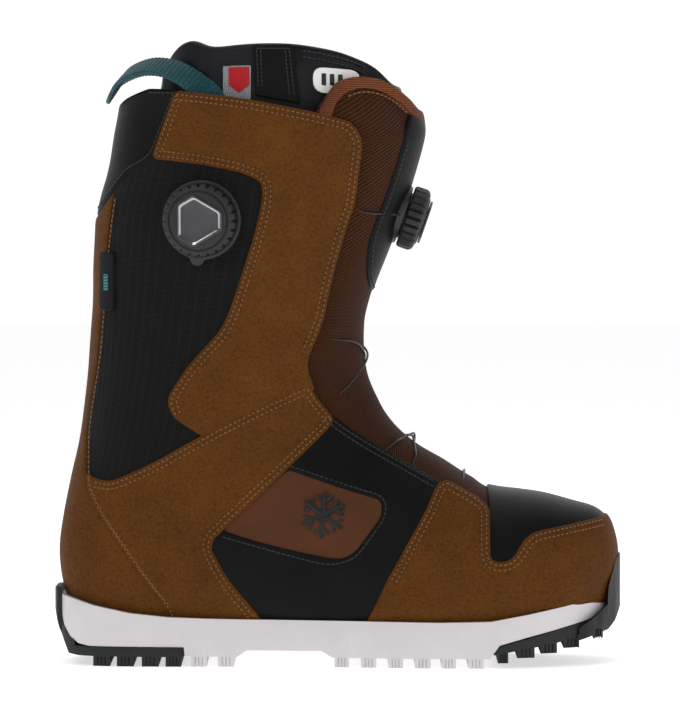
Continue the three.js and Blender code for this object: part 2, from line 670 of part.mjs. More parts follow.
function frameOf(origin, normal) {
  const up = new THREE.Vector3(0, 0, 1);
  const sideways = new THREE.Vector3().crossVectors(up, normal).normalize();
  const upright = new THREE.Vector3().crossVectors(normal, sideways);
  return new THREE.Matrix4().makeBasis(sideways, upright, normal).setPosition(origin);
}

function rod(matrix, radius, low, high) {
  const solid = ring([[0, low], [radius, low], [radius, high], [0, high]], 16);
  return toSolid(toGeometry(solid).applyMatrix4(matrix));
}

// ---- Putting the boot together ----
const sideDialPlace = dialPlace(-73, 236, 1);
const tongueLean = Math.atan2(39.5 - 26, 259 - 220);
const tongueDialPlace = frameOf(
  new THREE.Vector3(32.9, 0, 238.5),
  new THREE.Vector3(Math.cos(tongueLean), 0, -Math.sin(tongueLean)),
);

function lacePort(side) {
  return new THREE.Vector3(0, 0, 0.6)
    .applyMatrix4(tongueDialPlace)
    .add(new THREE.Vector3(-1.5, -side * (tongueDial.baseRadius + 0.6), 0));
}

const lacePoints = lacePath(lacePort);
const laceSteps = 100;
const laceRoom = toSolid(tube(lacePoints, laceRadius + laceClearance, laceSteps));

// A panel: the outer layer inside its outline, cut back from the outlines that lie over it.
function panel(outline, over, half) {
  let solid = layer(0, panelThickness).intersect(through(outline));
  for (const other of over) solid = solid.subtract(through(grown(other, play)));
  if (half) solid = solid.intersect(half);
  return solid;
}

function addUpper() {
  const dialHole = rod(sideDialPlace, sideDial.bossRadius + play, -12, 12);
  add("toe_cap", main(panel(toeCapOutline, []).subtract(laceRoom)), leather);
  add("vamp", main(panel(vampOutline, [toeCapOutline])), black);
  add("back_stay", main(panel(backStayOutline, [])), leather);
  add("rear_collar", main(panel(gaiterOutline, [backStayOutline])), black);
  for (const [side, half] of [["outer", outerHalf], ["inner", innerHalf]]) {
    const strapOver = [toeCapOutline, backStayOutline];
    add(`heel_strap_${side}`, main(panel(heelStrapOutline, strapOver, half).subtract(laceRoom)), leather);
    const cuffOver = [heelStrapOutline, gaiterOutline, backStayOutline];
    add(`cuff_overlay_${side}`, main(panel(cuffOutline, cuffOver, half).subtract(laceRoom)), leather);
    const panelOver = [heelStrapOutline, gaiterOutline, backStayOutline, cuffOutline];
    let cuffPanel = panel(cuffPanelOutline, panelOver, half);
    if (side === "outer") cuffPanel = cuffPanel.subtract(dialHole);
    add(`cuff_panel_${side}`, main(cuffPanel), { color: "#17181a", roughness: 0.9 });

    const quarterOver = [toeCapOutline, heelStrapOutline];
    const inset = body(-1).subtract(body(0.9)).intersect(through(windowOutline)).intersect(half);
    const windowRoom = body(-2).subtract(body(1.2)).intersect(through(grown(windowOutline, play)));
    const quarter = panel(quarterOutline, quarterOver, half).subtract(windowRoom).subtract(laceRoom);
    add(`quarter_${side}`, main(quarter), black);
    const pane = quarterOver.reduce(
      (rest, other) => rest.subtract(through(grown(other, play))),
      inset.intersect(body(0)),
    );
    add(`quarter_window_${side}`, main(pane), { color: "#7b421c", roughness: 0.9 });
    const emblem = body(-1.5).subtract(body(-play)).intersect(through(emblemOutline)).intersect(half);
    add(`emblem_${side}`, main(emblem), { color: "#141414", roughness: 0.4 });
  }
  const underTongue = through(grown(tongueOutline, wingReach + play));
  const liningDepth = panelThickness + play;
  const lining = layer(liningDepth, liningDepth + liningThickness)
    .intersect(through(collarOutline))
    .subtract(underTongue)
    .subtract(dialHole);
  add("shell_lining", main(lining), { color: "#26272a", roughness: 0.95 });
}

function addTongue() {
  const innerDepth = panelThickness + play + liningThickness;
  const wingDepth = innerDepth - wingThickness;
  const inside = through(grown(tongueOutline, -play));
  const opening = through(tongueOutline);
  const wide = through(grown(tongueOutline, wingReach));
  const bindingRoom = through(grown(bindingOutline, play));
  const face = layer(0, innerDepth).intersect(inside);
  const below = slab(-farOut, farOut, -farOut, farOut, -farOut, hingeHeight - 0.6);
  const above = slab(-farOut, farOut, -farOut, farOut, hingeHeight, farOut);
  const flange = layer(wingDepth, innerDepth).intersect(wide);
  add("tongue_lower", main(face.add(flange).intersect(below).subtract(laceRoom)), textile);

  const shieldWall = 2;
  const shieldRoom = through(grown(shieldOutline, play)).subtract(body(shieldWall + play));
  const swing = through(grown(tongueOutline, -play - swingRoom));
  const upper = face
    .intersect(above)
    .intersect(swing)
    .subtract(shieldRoom)
    .subtract(bindingRoom)
    .subtract(laceRoom);
  const screwRoom = rod(tongueDialPlace, dialStack.screwRadius + play, -4, 6);
  add("tongue_upper", main(upper.subtract(screwRoom)), textile);
  const shield = layer(0, shieldWall)
    .intersect(through(shieldOutline))
    .subtract(bindingRoom)
    .subtract(screwRoom);
  add("tongue_shield", main(shield), black);
  const binding = layer(0, innerDepth)
    .intersect(through(bindingOutline))
    .subtract(through(grown(cuffOutline, play + swingRoom)));
  add("tongue_binding", main(binding), leather);

  const wingSpan = slab(-farOut, farOut, -farOut, farOut, hingeHeight, 286);
  for (const [side, half] of [["outer", outerHalf], ["inner", innerHalf]]) {
    const wing = flange.subtract(opening).intersect(wingSpan).intersect(half);
    add(`tongue_gusset_${side}`, main(wing), textile);
  }
}

function addHarness() {
  const outer = panelThickness + liningThickness + 2 * play;
  const band = layer(outer, outer + harnessThickness).intersect(through(harnessOutline));
  add("ankle_harness", main(band), { color: "#3a3c40", roughness: 0.8 });
  const depth = outer + laceRadius + 0.12;
  const frontRun = routed([[-67, 226, 1], [-56, 180, 1], [-53, 160, 1]], depth, 4);
  const rearRun = routed(
    [[-80, 230, 1], [-112, 208, 1], [-127, 190, 1], [-127, 185, -1], [-100, 176, -1], [-62, 156, -1]],
    depth,
    8,
  );
  const wire = { color: "#2b2b2e", roughness: 0.4 };
  add("harness_cable_front", tube(frontRun, laceRadius, 8), wire);
  add("harness_cable_rear", tube(rearRun, laceRadius, 34), wire);
}

function addLiner() {
  const outer = panelThickness + liningThickness + harnessThickness + 3 * play;
  const outside = [...drawnIn(sections, outer).slice(0, linerLast), ...linerTop];
  const inside = drawnIn(outside, linerThickness).filter(
    (_, i) => i % 2 === 0 || i > linerLast,
  );
  const tall = inside[inside.length - 1];
  inside.push({ ...tall, front: [tall.front[0], 350], back: [tall.back[0], 350] });
  const bootie = loft(outside).intersect(through(linerOutline));
  const room = loft(inside);
  const wall = bootie.subtract(room);
  const flap = through(linerFrontOutline);
  add("liner", main(wall.subtract(through(grown(linerFrontOutline, play)))), { color: "#1b1c1f", roughness: 0.6 });
  add("liner_tongue", main(wall.intersect(flap)), { color: "#1d1e21", roughness: 0.6 });
  const hollow = loft(drawnIn(inside, play));
  const floor = 18 + outer + linerThickness + play;
  const bed = hollow.intersect(slab(-160, 160, -90, 90, floor, floor + footbedThickness));
  add("footbed", main(bed), { color: "#4a4d52", roughness: 0.95 });

  const skinOf = (thickness) => loft(drawnIn(outside, -thickness)).subtract(
    loft(drawnIn(outside, -play)),
  );
  const strapOutline = [[-45.5, 328.5], [-24, 328.5], [-21.5, 304], [-44, 304]];
  const labelOutline = [[-61, 317], [-47, 317], [-47, 304], [-61, 304]];
  const badgeOutline = [[-13.5, 316, 4], [9, 314, 4], [9, 303, 4], [-13.5, 303, 4]];
  const outerSkin = skinOf(1.5).intersect(outerHalf);
  add("liner_pull_strap", main(outerSkin.intersect(through(strapOutline))), { color: "#202124", roughness: 0.5 });
  add("liner_label", main(outerSkin.intersect(through(labelOutline))), { color: "#8b8d90", roughness: 0.8 });
  add("liner_badge", main(outerSkin.intersect(through(badgeOutline))), { color: "#e8e8e6", roughness: 0.5 });
}

// The webbing loop that stands round the back of the liner.
function addLoop() {
  const halfPath = [[-63, -42.6, 289], [-69.5, -41, 302], [-85, -38.5, 317.5], [-102, -28, 322], [-116, -12, 317.5]];
  const path = new THREE.CatmullRomCurve3(
    [...halfPath, [-120.5, 0, 314], ...[...halfPath].reverse().map(([x, y, z]) => [x, -y, z])].map(
      (p) => new THREE.Vector3(...p),
    ),
    false,
    "centripetal",
  );
  const steps = 24;
  const corners = [];
  for (let i = 0; i <= steps; i += 1) {
    const here = path.getPointAt(i / steps);
    const along = path.getTangentAt(i / steps);
    const out = new THREE.Vector3(here.x + 55, here.y, (here.z - 290) * 0.5).normalize();
    const acrossBand = new THREE.Vector3().crossVectors(along, out).normalize();
    const face = new THREE.Vector3().crossVectors(acrossBand, along).normalize();
    for (const [w, t] of [[-1, -1], [1, -1], [1, 1], [-1, 1]]) {
      const corner = here
        .clone()
        .addScaledVector(acrossBand, (w * loopWidth) / 2)
        .addScaledVector(face, (t * loopThickness) / 2);
      corners.push(corner);
    }
  }
  const faces = [0, 1, 2, 0, 2, 3];
  for (let i = 0; i < steps; i += 1) {
    for (let j = 0; j < 4; j += 1) {
      const a = i * 4 + j;
      const b = i * 4 + ((j + 1) % 4);
      faces.push(a, a + 4, b, b, a + 4, b + 4);
    }
  }
  const last = steps * 4;
  faces.push(last, last + 2, last + 1, last, last + 3, last + 2);
  const geometry = new THREE.BufferGeometry().setFromPoints(corners).setIndex(faces);
  const solid = toSolid(geometry);
  add("rear_pull_loop", solid.volume() > 0 ? solid : toSolid(flipped(geometry)), {
    color: "#1f5a60", roughness: 0.7,
  });
}

function addTab() {
  const outline = [[-125.5, 218.5], [-117.5, 218.5], [-118.5, 187.5], [-126.5, 187.5]];
  const tab = body(-1.5).subtract(body(-play)).intersect(through(outline)).intersect(outerHalf);
  add("side_tab", main(tab), { color: "#191a1c", roughness: 0.85 });
}

addSole();
addUpper();
addTongue();
addHarness();
addLiner();
addLoop();
addTab();
add("lace", tube(lacePoints, laceRadius, laceSteps), { color: "#1f1d1c", roughness: 0.45 });
addDial("side_dial", sideDial, sideDialPlace);
addDial("tongue_dial", tongueDial, tongueDialPlace);

export default boot;
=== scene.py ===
import math

import bmesh
import bpy
import numpy as np
from mathutils import Matrix, Vector


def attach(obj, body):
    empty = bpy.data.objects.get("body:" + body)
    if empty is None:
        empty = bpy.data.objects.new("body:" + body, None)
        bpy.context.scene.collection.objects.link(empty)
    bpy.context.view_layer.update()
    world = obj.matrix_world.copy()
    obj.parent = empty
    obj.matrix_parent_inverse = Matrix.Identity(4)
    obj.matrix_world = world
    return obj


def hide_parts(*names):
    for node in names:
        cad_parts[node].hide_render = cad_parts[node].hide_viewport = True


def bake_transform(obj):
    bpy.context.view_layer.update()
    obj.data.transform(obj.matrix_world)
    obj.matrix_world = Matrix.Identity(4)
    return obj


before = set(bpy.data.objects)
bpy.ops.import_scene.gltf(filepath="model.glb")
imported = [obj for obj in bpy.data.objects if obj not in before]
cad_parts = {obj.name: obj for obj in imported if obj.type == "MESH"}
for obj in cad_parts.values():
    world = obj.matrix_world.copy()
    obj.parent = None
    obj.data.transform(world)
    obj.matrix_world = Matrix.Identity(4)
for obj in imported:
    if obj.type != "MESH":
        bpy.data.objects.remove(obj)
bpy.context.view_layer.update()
mm = 0.001
print("frame loaded")


def toLinear(code):
    values = [int(code[i:i + 2], 16) / 255 for i in (1, 3, 5)]
    return tuple(v / 12.92 if v <= 0.04045 else ((v + 0.055) / 1.055) ** 2.4 for v in values) + (1,)


# One node: its kind, its settings by socket or property, and what feeds its sockets.
def addNode(tree, kind, settings=None, links=None):
    node = tree.nodes.new(kind)
    for key, value in (settings or {}).items():
        if isinstance(key, str) and hasattr(node, key) and key not in node.inputs:
            setattr(node, key, value)
        else:
            node.inputs[key].default_value = value
    for key, source in (links or {}).items():
        tree.links.new(source, node.inputs[key])
    return node


def setRamp(node, stops):
    ramp = node.color_ramp
    while len(ramp.elements) < len(stops):
        ramp.elements.new(0.5)
    for element, (place, code) in zip(ramp.elements, stops):
        element.position = place
        element.color = toLinear(code)
    return node.outputs["Color"]


def newMaterial(name, settings):
    material = bpy.data.materials.new(name)
    material.use_nodes = True
    tree = material.node_tree
    shader = tree.nodes["Principled BSDF"]
    for key, value in settings.items():
        shader.inputs[key].default_value = value
    return material, tree, shader


# Hide with a pebbled grain: rounded pebbles about a millimetre wide, with finer pores between.
def hide(name, dark, light, roughness, pebble, depth, coat=0.0):
    material, tree, shader = newMaterial(name, {"Roughness": roughness, "IOR": 1.5, "Coat Weight": coat,
                                                "Coat Roughness": 0.35, "Specular IOR Level": 0.12})
    place = addNode(tree, "ShaderNodeTexCoord").outputs["Object"]
    warp = addNode(tree, "ShaderNodeTexNoise", {"Scale": 300.0, "Detail": 2.0}, {"Vector": place})
    bent = addNode(tree, "ShaderNodeMixRGB", {"Fac": 0.0012},
                   {"Color1": place, "Color2": warp.outputs["Color"]})
    cells = addNode(tree, "ShaderNodeTexVoronoi",
                    {"feature": "SMOOTH_F1", "Scale": 1 / (pebble * mm), "Smoothness": 0.6},
                    {"Vector": bent.outputs["Color"]})
    pores = addNode(tree, "ShaderNodeTexNoise", {"Scale": 2200.0, "Detail": 3.0}, {"Vector": place})
    broad = addNode(tree, "ShaderNodeTexNoise", {"Scale": 38.0, "Detail": 4.0, "Roughness": 0.6},
                    {"Vector": place})
    tone = addNode(tree, "ShaderNodeValToRGB", None, {"Fac": broad.outputs["Fac"]})
    base = setRamp(tone, [(0.32, dark), (0.68, light)])
    # Painted shade: the colour darkens towards the edge of each pebble, in the crevices between pebbles.
    paintedCreviceShade = addNode(tree, "ShaderNodeMixRGB", {"blend_type": "MULTIPLY", "Color2": (0.5, 0.47, 0.44, 1)},
                    {"Color1": base, "Fac": cells.outputs["Distance"]})
    tree.links.new(paintedCreviceShade.outputs["Color"], shader.inputs["Base Color"])
    high = addNode(tree, "ShaderNodeBump", {"Strength": depth, "Distance": 0.35 * mm, "invert": True},
                   {"Height": cells.outputs["Distance"]})
    fine = addNode(tree, "ShaderNodeBump", {"Strength": 0.25, "Distance": 0.1 * mm},
                   {"Height": pores.outputs["Fac"], "Normal": high.outputs["Normal"]})
    tree.links.new(fine.outputs["Normal"], shader.inputs["Normal"])
    return material


# Cloth from two sets of threads; every few threads a thicker one when there is a grid.
def weave(name, dark, light, thread, roughness, lean=0.0, grid=0.0, depth=0.6, sheen=0.2, ribs=1.0):
    material, tree, shader = newMaterial(name, {"Roughness": roughness, "IOR": 1.5, "Sheen Weight": sheen,
                                                "Sheen Roughness": 0.5, "Specular IOR Level": 0.12})
    place = addNode(tree, "ShaderNodeUVMap", {"uv_map": "cloth"}).outputs["UV"]
    leaning = addNode(tree, "ShaderNodeVectorRotate",
                      {"rotation_type": "Z_AXIS", "Angle": math.radians(lean)},
                     {"Vector": place}).outputs["Vector"]
    turn = 1 / thread * math.pi * 2 / 20
    warp = addNode(tree, "ShaderNodeTexWave", {"bands_direction": "X", "Scale": turn, "Distortion": 0.0},
                   {"Vector": leaning})
    weft = addNode(tree, "ShaderNodeTexWave",
                   {"bands_direction": "Y", "Scale": turn * ribs, "Distortion": 0.0},
                   {"Vector": leaning})
    both = addNode(tree, "ShaderNodeMath", {"operation": "MULTIPLY"},
                   {0: warp.outputs["Fac"], 1: weft.outputs["Fac"]}).outputs["Value"]
    height = both
    if grid:
        lines = []
        for direction in ("X", "Y"):
            wide = addNode(tree, "ShaderNodeTexWave",
                           {"bands_direction": direction, "Scale": 1 / grid * math.pi * 2 / 20,
                            "Distortion": 0.0},
                           {"Vector": leaning})
            lines.append(addNode(tree, "ShaderNodeMath", {"operation": "POWER", 1: 14.0},
                                 {0: wide.outputs["Fac"]}))
        thick = addNode(tree, "ShaderNodeMath", {"operation": "MAXIMUM"},
                        {0: lines[0].outputs["Value"], 1: lines[1].outputs["Value"]}).outputs["Value"]
        height = addNode(tree, "ShaderNodeMath", {"operation": "ADD"}, {0: both, 1: thick}).outputs["Value"]
    fuzz = addNode(tree, "ShaderNodeTexNoise", {"Scale": 900.0, "Detail": 3.0},
                   {"Vector": addNode(tree, "ShaderNodeTexCoord").outputs["Object"]})
    # Painted shade and highlight: the colour follows the thread height, darker in the hollows between threads
    # and lighter on their raised tops; the fuzz adds random tone.
    threadShadeAndFuzz = addNode(tree, "ShaderNodeMath", {"operation": "MULTIPLY_ADD", 1: 0.5},
                    {0: fuzz.outputs["Fac"], 2: height})
    tone = addNode(tree, "ShaderNodeValToRGB", None, {"Fac": threadShadeAndFuzz.outputs["Value"]})
    tree.links.new(setRamp(tone, [(0.2, dark), (0.95, light)]), shader.inputs["Base Color"])
    bump = addNode(tree, "ShaderNodeBump", {"Strength": depth, "Distance": 0.4 * mm}, {"Height": height})
    tree.links.new(bump.outputs["Normal"], shader.inputs["Normal"])
    return material


# A moulded skin: fine even texture, with faint cloudiness in the colour.
def moulded(name, dark, light, roughness, grain, depth, metallic=0.0, coat=0.0):
    settings = {"Roughness": roughness, "Metallic": metallic, "Coat Weight": coat, "Coat Roughness": 0.2}
    if not metallic:
        settings["IOR"] = 1.5
    material, tree, shader = newMaterial(name, settings)
    place = addNode(tree, "ShaderNodeTexCoord").outputs["Object"]
    cloud = addNode(tree, "ShaderNodeTexNoise", {"Scale": 60.0, "Detail": 5.0}, {"Vector": place})
    tone = addNode(tree, "ShaderNodeValToRGB", None, {"Fac": cloud.outputs["Fac"]})
    tree.links.new(setRamp(tone, [(0.3, dark), (0.7, light)]), shader.inputs["Base Color"])
    grit = addNode(tree, "ShaderNodeTexNoise", {"Scale": 1 / (grain * mm), "Detail": 4.0}, {"Vector": place})
    bump = addNode(tree, "ShaderNodeBump", {"Strength": depth, "Distance": 0.15 * mm},
                   {"Height": grit.outputs["Fac"]})
    tree.links.new(bump.outputs["Normal"], shader.inputs["Normal"])
    return material


finishes = {
    # oiled full-grain cowhide: warm brown, soft pebbles, low gloss
    "brownLeather": hide("oiled cowhide", "#5e370b", "#6c400e", 0.66, 1.3, 0.95),
    # smooth coated leather, embossed with a fine even grain: black with a soft sheen
    "blackLeather": hide("coated calfskin", "#0b0c0d", "#111214", 0.5, 0.9, 0.25),
    # liner skin: polyurethane-coated knit, smooth and slightly glossy
    "linerSkin": hide("polyurethane skin", "#141519", "#1d1f23", 0.42, 1.2, 0.15, 0.1),
    # brushed suede split: short nap, no gloss
    "suede": moulded("brushed suede", "#4c280c", "#562c0e", 0.95, 0.35, 0.8),
    # nylon ripstop: plain weave with a thicker grid every 3.4 mm
    "ripstop": weave("nylon ripstop", "#070708", "#141416", 0.9, 0.7, 0.0, 3.4, 0.5, 0.05),
    # tongue: polyester ribbed on the bias, threads drawn at 1.1 mm so that they show
    "tongueCloth": weave("ribbed polyester", "#1d0d03", "#5a3014", 1.1, 0.75, 38.0, 0.0, 0.9, 0.05, 0.55),
    # the tongue's edge: brown webbing, ribbed across
    "bindingTape": weave("binding tape", "#4a2410", "#82492a", 1.3, 0.7, 0.0, 0.0, 0.8, 0.05, 0.02),
    # shaft lining: brushed polyester knit, matt black, threads drawn at 1.2 mm so that they show
    "lining": weave("brushed knit", "#0d0d0e", "#1e1f21", 1.2, 0.9, 0.0, 0.0, 0.5, 0.3),
    # nylon webbing: cross ribs, teal; the light teal is a painted highlight on the raised threads
    "webbing": weave("nylon webbing", "#0f3a40", "#3f858b", 1.6, 0.5, 0.0, 0.0, 1.0, 0.1, 0.02),
    # label: woven tape, grey
    "label": weave("woven label", "#77787b", "#a7a8ab", 0.8, 0.7, 0.0, 0.0, 0.4, 0.1),
    # the patch on the label: printed red
    "redPatch": weave("printed label", "#9c1c22", "#c42a30", 0.8, 0.6, 0.0, 0.0, 0.3, 0.1),
    # compression-moulded EVA: white, matt, faintly mottled
    "eva": moulded("moulded EVA foam", "#dbd6d8", "#e0dcde", 0.6, 0.9, 0.12),
    # tread: moulded rubber, black, matt with a fine grit
    "rubber": moulded("moulded tread rubber", "#141515", "#1a1b1b", 0.68, 0.5, 0.35),
    # dial seats: glass-filled nylon, moulded, black with a low sheen
    "blackNylon": moulded("glass-filled nylon", "#141518", "#1c1d20", 0.4, 0.4, 0.2),
    # dial grips: overmoulded soft rubber, matt
    "gripRubber": moulded("soft grip rubber", "#121316", "#191a1c", 0.55, 0.4, 0.25),
    # dial caps: ABS, polished, dark with clear reflections
    "capPlastic": moulded("polished ABS", "#212226", "#2a2b2f", 0.25, 0.8, 0.05, 0.0, 0.4),
    # the edge of each cap: polished metal, a thin bright line
    "capBevel": moulded("polished bevel", "#9a9c9f", "#b4b6b8", 0.16, 0.8, 0.02, 1.0),
    # the white patch of the liner badge, smooth
    "whitePlastic": moulded("printed patch", "#e6e6e4", "#f2f2f0", 0.4, 0.8, 0.05),
    # emblem: moulded rubber, black, a little shinier than the tread
    "emblemRubber": moulded("moulded emblem rubber", "#0c0c0d", "#141415", 0.4, 0.6, 0.1),
    # spools and discs: natural nylon, off-white
    "nylon": moulded("natural nylon", "#c4c5c0", "#d2d3ce", 0.45, 0.6, 0.1),
    # screws: zinc-plated steel
    "steel": moulded("zinc-plated steel", "#8e9092", "#a2a4a6", 0.32, 0.5, 0.1, 1.0),
    # lace: coated cord, very dark brown
    "laceCord": moulded("coated lace cord", "#16110f", "#241b16", 0.42, 0.3, 0.5),
    # upper stitching: bonded nylon thread, a little lighter than the hide
    "brownThread": moulded("bonded nylon thread, brown", "#704617", "#83531e", 0.5, 0.2, 0.4),
    # stitching of the black parts
    "blackThread": moulded("bonded nylon thread, black", "#1a1b1d", "#26272a", 0.5, 0.2, 0.4),
    # lasting board: pressed fibre, dull
    "board": moulded("pressed fibre board", "#7c7465", "#958c7b", 0.9, 0.5, 0.5),
    # foam and footbed: closed-cell foam, dull
    "foam": moulded("closed-cell foam", "#33363b", "#44484e", 0.95, 0.6, 0.5),
    # needle holes: a dark shadow between stitches
    "needleHoleShadow": moulded("shadowed needle hole", "#140b05", "#1c1009", 0.9, 0.4, 0.1),
}
print("finishes made")

# The boot's surface, in millimetres, as sections from the toe round the heel and up the shaft.
# front x, z; back x, z; half width; widest place; roundness front and back; shift
stationTable = np.array([
    [148.5, 54, 148.5, 46, 2, 0.5, 2, 2, 5],
    [147.2, 66, 147, 37, 13, 0.5, 2.1, 2.4, 5],
    [143.5, 76, 143, 30.5, 22, 0.52, 2.2, 2.8, 4.5],
    [137, 81.8, 136, 25.5, 30, 0.55, 2.2, 3.2, 3.8],
    [126, 85.6, 125, 21.5, 38.5, 0.58, 2.2, 3.6, 2.5],
    [112, 89.2, 110, 19, 45, 0.6, 2.2, 4, 1],
    [96, 91.8, 92, 18, 49.5, 0.6, 2.2, 4.3, -0.3],
    [80, 94.2, 72, 18, 51.5, 0.62, 2.1, 4.5, -1.2],
    [68, 100, 50, 18, 51.5, 0.63, 2.1, 4.5, -1.8],
    [55.5, 108, 25, 18, 49.5, 0.63, 2.1, 4.5, -2.3],
    [42.5, 115.5, -5, 18, 46.5, 0.63, 2.1, 4.4, -2.7],
    [32, 124, -38, 18, 44, 0.62, 2.1, 4.2, -2.7],
    [25, 132.5, -72, 18, 42.5, 0.61, 2.1, 3.8, -2.2],
    [20.5, 141, -106, 18, 42.5, 0.59, 2.1, 3.3, -1.5],
    [17, 148.5, -133, 22, 43, 0.57, 2.1, 2.9, -0.9],
    [15, 154, -144.5, 36, 43.5, 0.55, 2.1, 2.5, -0.5],
    [13.8, 159.5, -148.3, 55, 44, 0.53, 2.1, 2.3, -0.3],
    [13.2, 166, -146.4, 78, 44.5, 0.52, 2.1, 2.2, 0],
    [13.3, 174, -141.6, 100, 45, 0.51, 2.1, 2.2, 0],
    [14.5, 186, -136.5, 125, 45.5, 0.5, 2.2, 2.2, 0],
    [18.5, 201, -133, 155, 46.5, 0.5, 2.2, 2.2, 0],
    [26, 220, -130.8, 187, 48, 0.5, 2.2, 2.2, 0],
    [33.5, 240, -130, 214, 49.5, 0.5, 2.2, 2.2, 0],
    [39.5, 259, -128.5, 238, 51, 0.5, 2.2, 2.2, 0],
    [44, 275, -123, 260, 52, 0.5, 2.2, 2.2, 0],
    [45.3, 284, -119.5, 278, 52.5, 0.5, 2.2, 2.2, 0],
    [43.5, 296, -116.5, 297, 53, 0.5, 2.2, 2.2, 0],
    [43, 308, -116, 312, 53, 0.5, 2.2, 2.2, 0],
    [42, 325, -115.5, 330, 53, 0.5, 2.2, 2.2, 0],
])
linerTable = np.array([
    [10.2, 190, -128.5, 168, 38.5, 0.5, 2.2, 2.2, 0],
    [19, 222, -124.5, 205, 41.5, 0.5, 2.2, 2.2, 0],
    [31.5, 259, -118, 246, 44.5, 0.5, 2.2, 2.2, 0],
    [35.5, 276, -109, 270, 45, 0.5, 2.2, 2.2, 0],
    [36.5, 292, -101, 291, 44.5, 0.5, 2.2, 2.2, 0],
    [33.5, 306, -95.5, 306, 44, 0.5, 2.2, 2.2, 0],
    [29, 320, -93.5, 320, 43.5, 0.5, 2.2, 2.2, 0],
    [24, 336, -92, 336, 43, 0.5, 2.2, 2.2, 0],
])


# Smooth curve from p1 to p2 that also heeds the points before and after them.
def smoothBetween(p0, p1, p2, p3, t):
    bend, twist = 2 * p0 - 5 * p1 + 4 * p2 - p3, 3 * p1 - p0 - 3 * p2 + p3
    return 0.5 * (2 * p1 + (p2 - p0) * t + bend * t ** 2 + twist * t ** 3)


# The same curve through a whole row of points, read at any places along it.
def smoothThrough(points, places):
    points = np.asarray(points, float)
    last = len(points) - 1
    i = np.minimum(places.astype(int), last - 1)
    p0, p3 = points[np.maximum(i - 1, 0)], points[np.minimum(i + 2, last)]
    return smoothBetween(p0, points[i], points[i + 1], p3, (places - i)[..., None])


def readRows(table, station):
    return smoothThrough(table, np.clip(station, 0, len(table) - 1))


def bootPoint(station, angle, table=stationTable):
    r = readRows(table, station)
    c, s = np.cos(angle), np.sin(angle)
    power = 2 / np.where(c > 0, r[..., 6], r[..., 7])
    along = np.abs(c) ** power
    out = np.sign(s) * np.abs(s) ** power * r[..., 4]
    middleX = r[..., 0] + r[..., 5] * (r[..., 2] - r[..., 0])
    middleZ = r[..., 1] + r[..., 5] * (r[..., 3] - r[..., 1])
    endX = np.where(c > 0, r[..., 0], r[..., 2])
    endZ = np.where(c > 0, r[..., 1], r[..., 3])
    return np.stack([middleX + along * (endX - middleX), r[..., 8] - out,
                     middleZ + along * (endZ - middleZ)], -1)


def bootNormal(station, angle, table=stationTable):
    last = len(table) - 1
    ds, da = 0.05, 0.02
    station = np.clip(station, 0, last)
    ahead = bootPoint(np.minimum(station + ds, last), angle, table) - bootPoint(np.maximum(station - ds, 0),
                                                                                angle, table)
    aside = bootPoint(station, angle + da, table) - bootPoint(station, angle - da, table)
    normal = np.cross(ahead, aside)
    length = np.linalg.norm(normal, axis=-1, keepdims=True)
    normal = normal / np.maximum(length, 1e-9)
    r = readRows(table, station)
    middle = np.stack([(r[..., 0] + r[..., 2]) / 2, r[..., 8], (r[..., 1] + r[..., 3]) / 2], -1)
    out = np.sum(normal * (bootPoint(station, angle, table) - middle), -1, keepdims=True)
    return np.where(out < 0, -normal, normal)


# Station and angle of side-view points; side is -1 for the outer side and 1 for the inner.
def locate(places, side=-1, table=stationTable):
    places = np.asarray(places, float)
    denseStations = np.linspace(0, len(table) - 1, 1401)
    denseRows = readRows(table, denseStations)
    front, back = denseRows[:, 0:2], denseRows[:, 2:4]
    line = back - front
    off = line[None, :, 0] * (places[:, None, 1] - front[None, :, 1]) - line[None, :,
                                                                             1] * (places[:, None,
                                                                                          0] - front[None, :,
                                                                                                     0])
    flips = off[:, :-1] * off[:, 1:] <= 0
    i = np.where(flips.any(1), flips.argmax(1), np.abs(off).argmin(1).clip(0, 1399))
    rows = np.arange(len(places))
    share = off[rows, i] / np.where(np.abs(off[rows, i] - off[rows, i + 1]) < 1e-9, 1e-9,
                                    off[rows, i] - off[rows, i + 1])
    station = denseStations[i] + share.clip(0, 1) * (denseStations[1] - denseStations[0])
    r = readRows(table, station)
    run = r[:, 2:4] - r[:, 0:2]
    reach = ((places - r[:, 0:2]) * run).sum(1) / (run ** 2).sum(1)
    ahead = reach < r[:, 5]
    along = np.where(ahead, 1 - reach / r[:, 5], (reach - r[:, 5]) / (1 - r[:, 5])).clip(0, 1)
    cosine = along ** (np.where(ahead, r[:, 6], r[:, 7]) / 2)
    angle = np.arccos(np.where(ahead, cosine, -cosine).clip(-1, 1))
    return station, angle * (1 if side < 0 else -1)


# A rounded corner in six points; it takes up less than half of the shorter side next to it.
def corner(before, here, after, radius):
    p = np.array(here[:2], float)
    a, b = np.array(before[:2], float) - p, np.array(after[:2], float) - p
    la, lb = np.linalg.norm(a), np.linalg.norm(b)
    cut = min(here[2] if len(here) > 2 else radius, la * 0.45, lb * 0.45)
    start, end = p + a / la * cut, p + b / lb * cut
    return [(1 - u) ** 2 * start + 2 * u * (1 - u) * p + u ** 2 * end for u in np.linspace(0, 1, 6)]


# A closed outline with its corners rounded; each point is x, z and maybe a radius.
def rounded(outline, radius=1.5):
    points = []
    for i, here in enumerate(outline):
        points += corner(outline[i - 1], here, outline[(i + 1) % len(outline)], radius)
    return np.array(points)


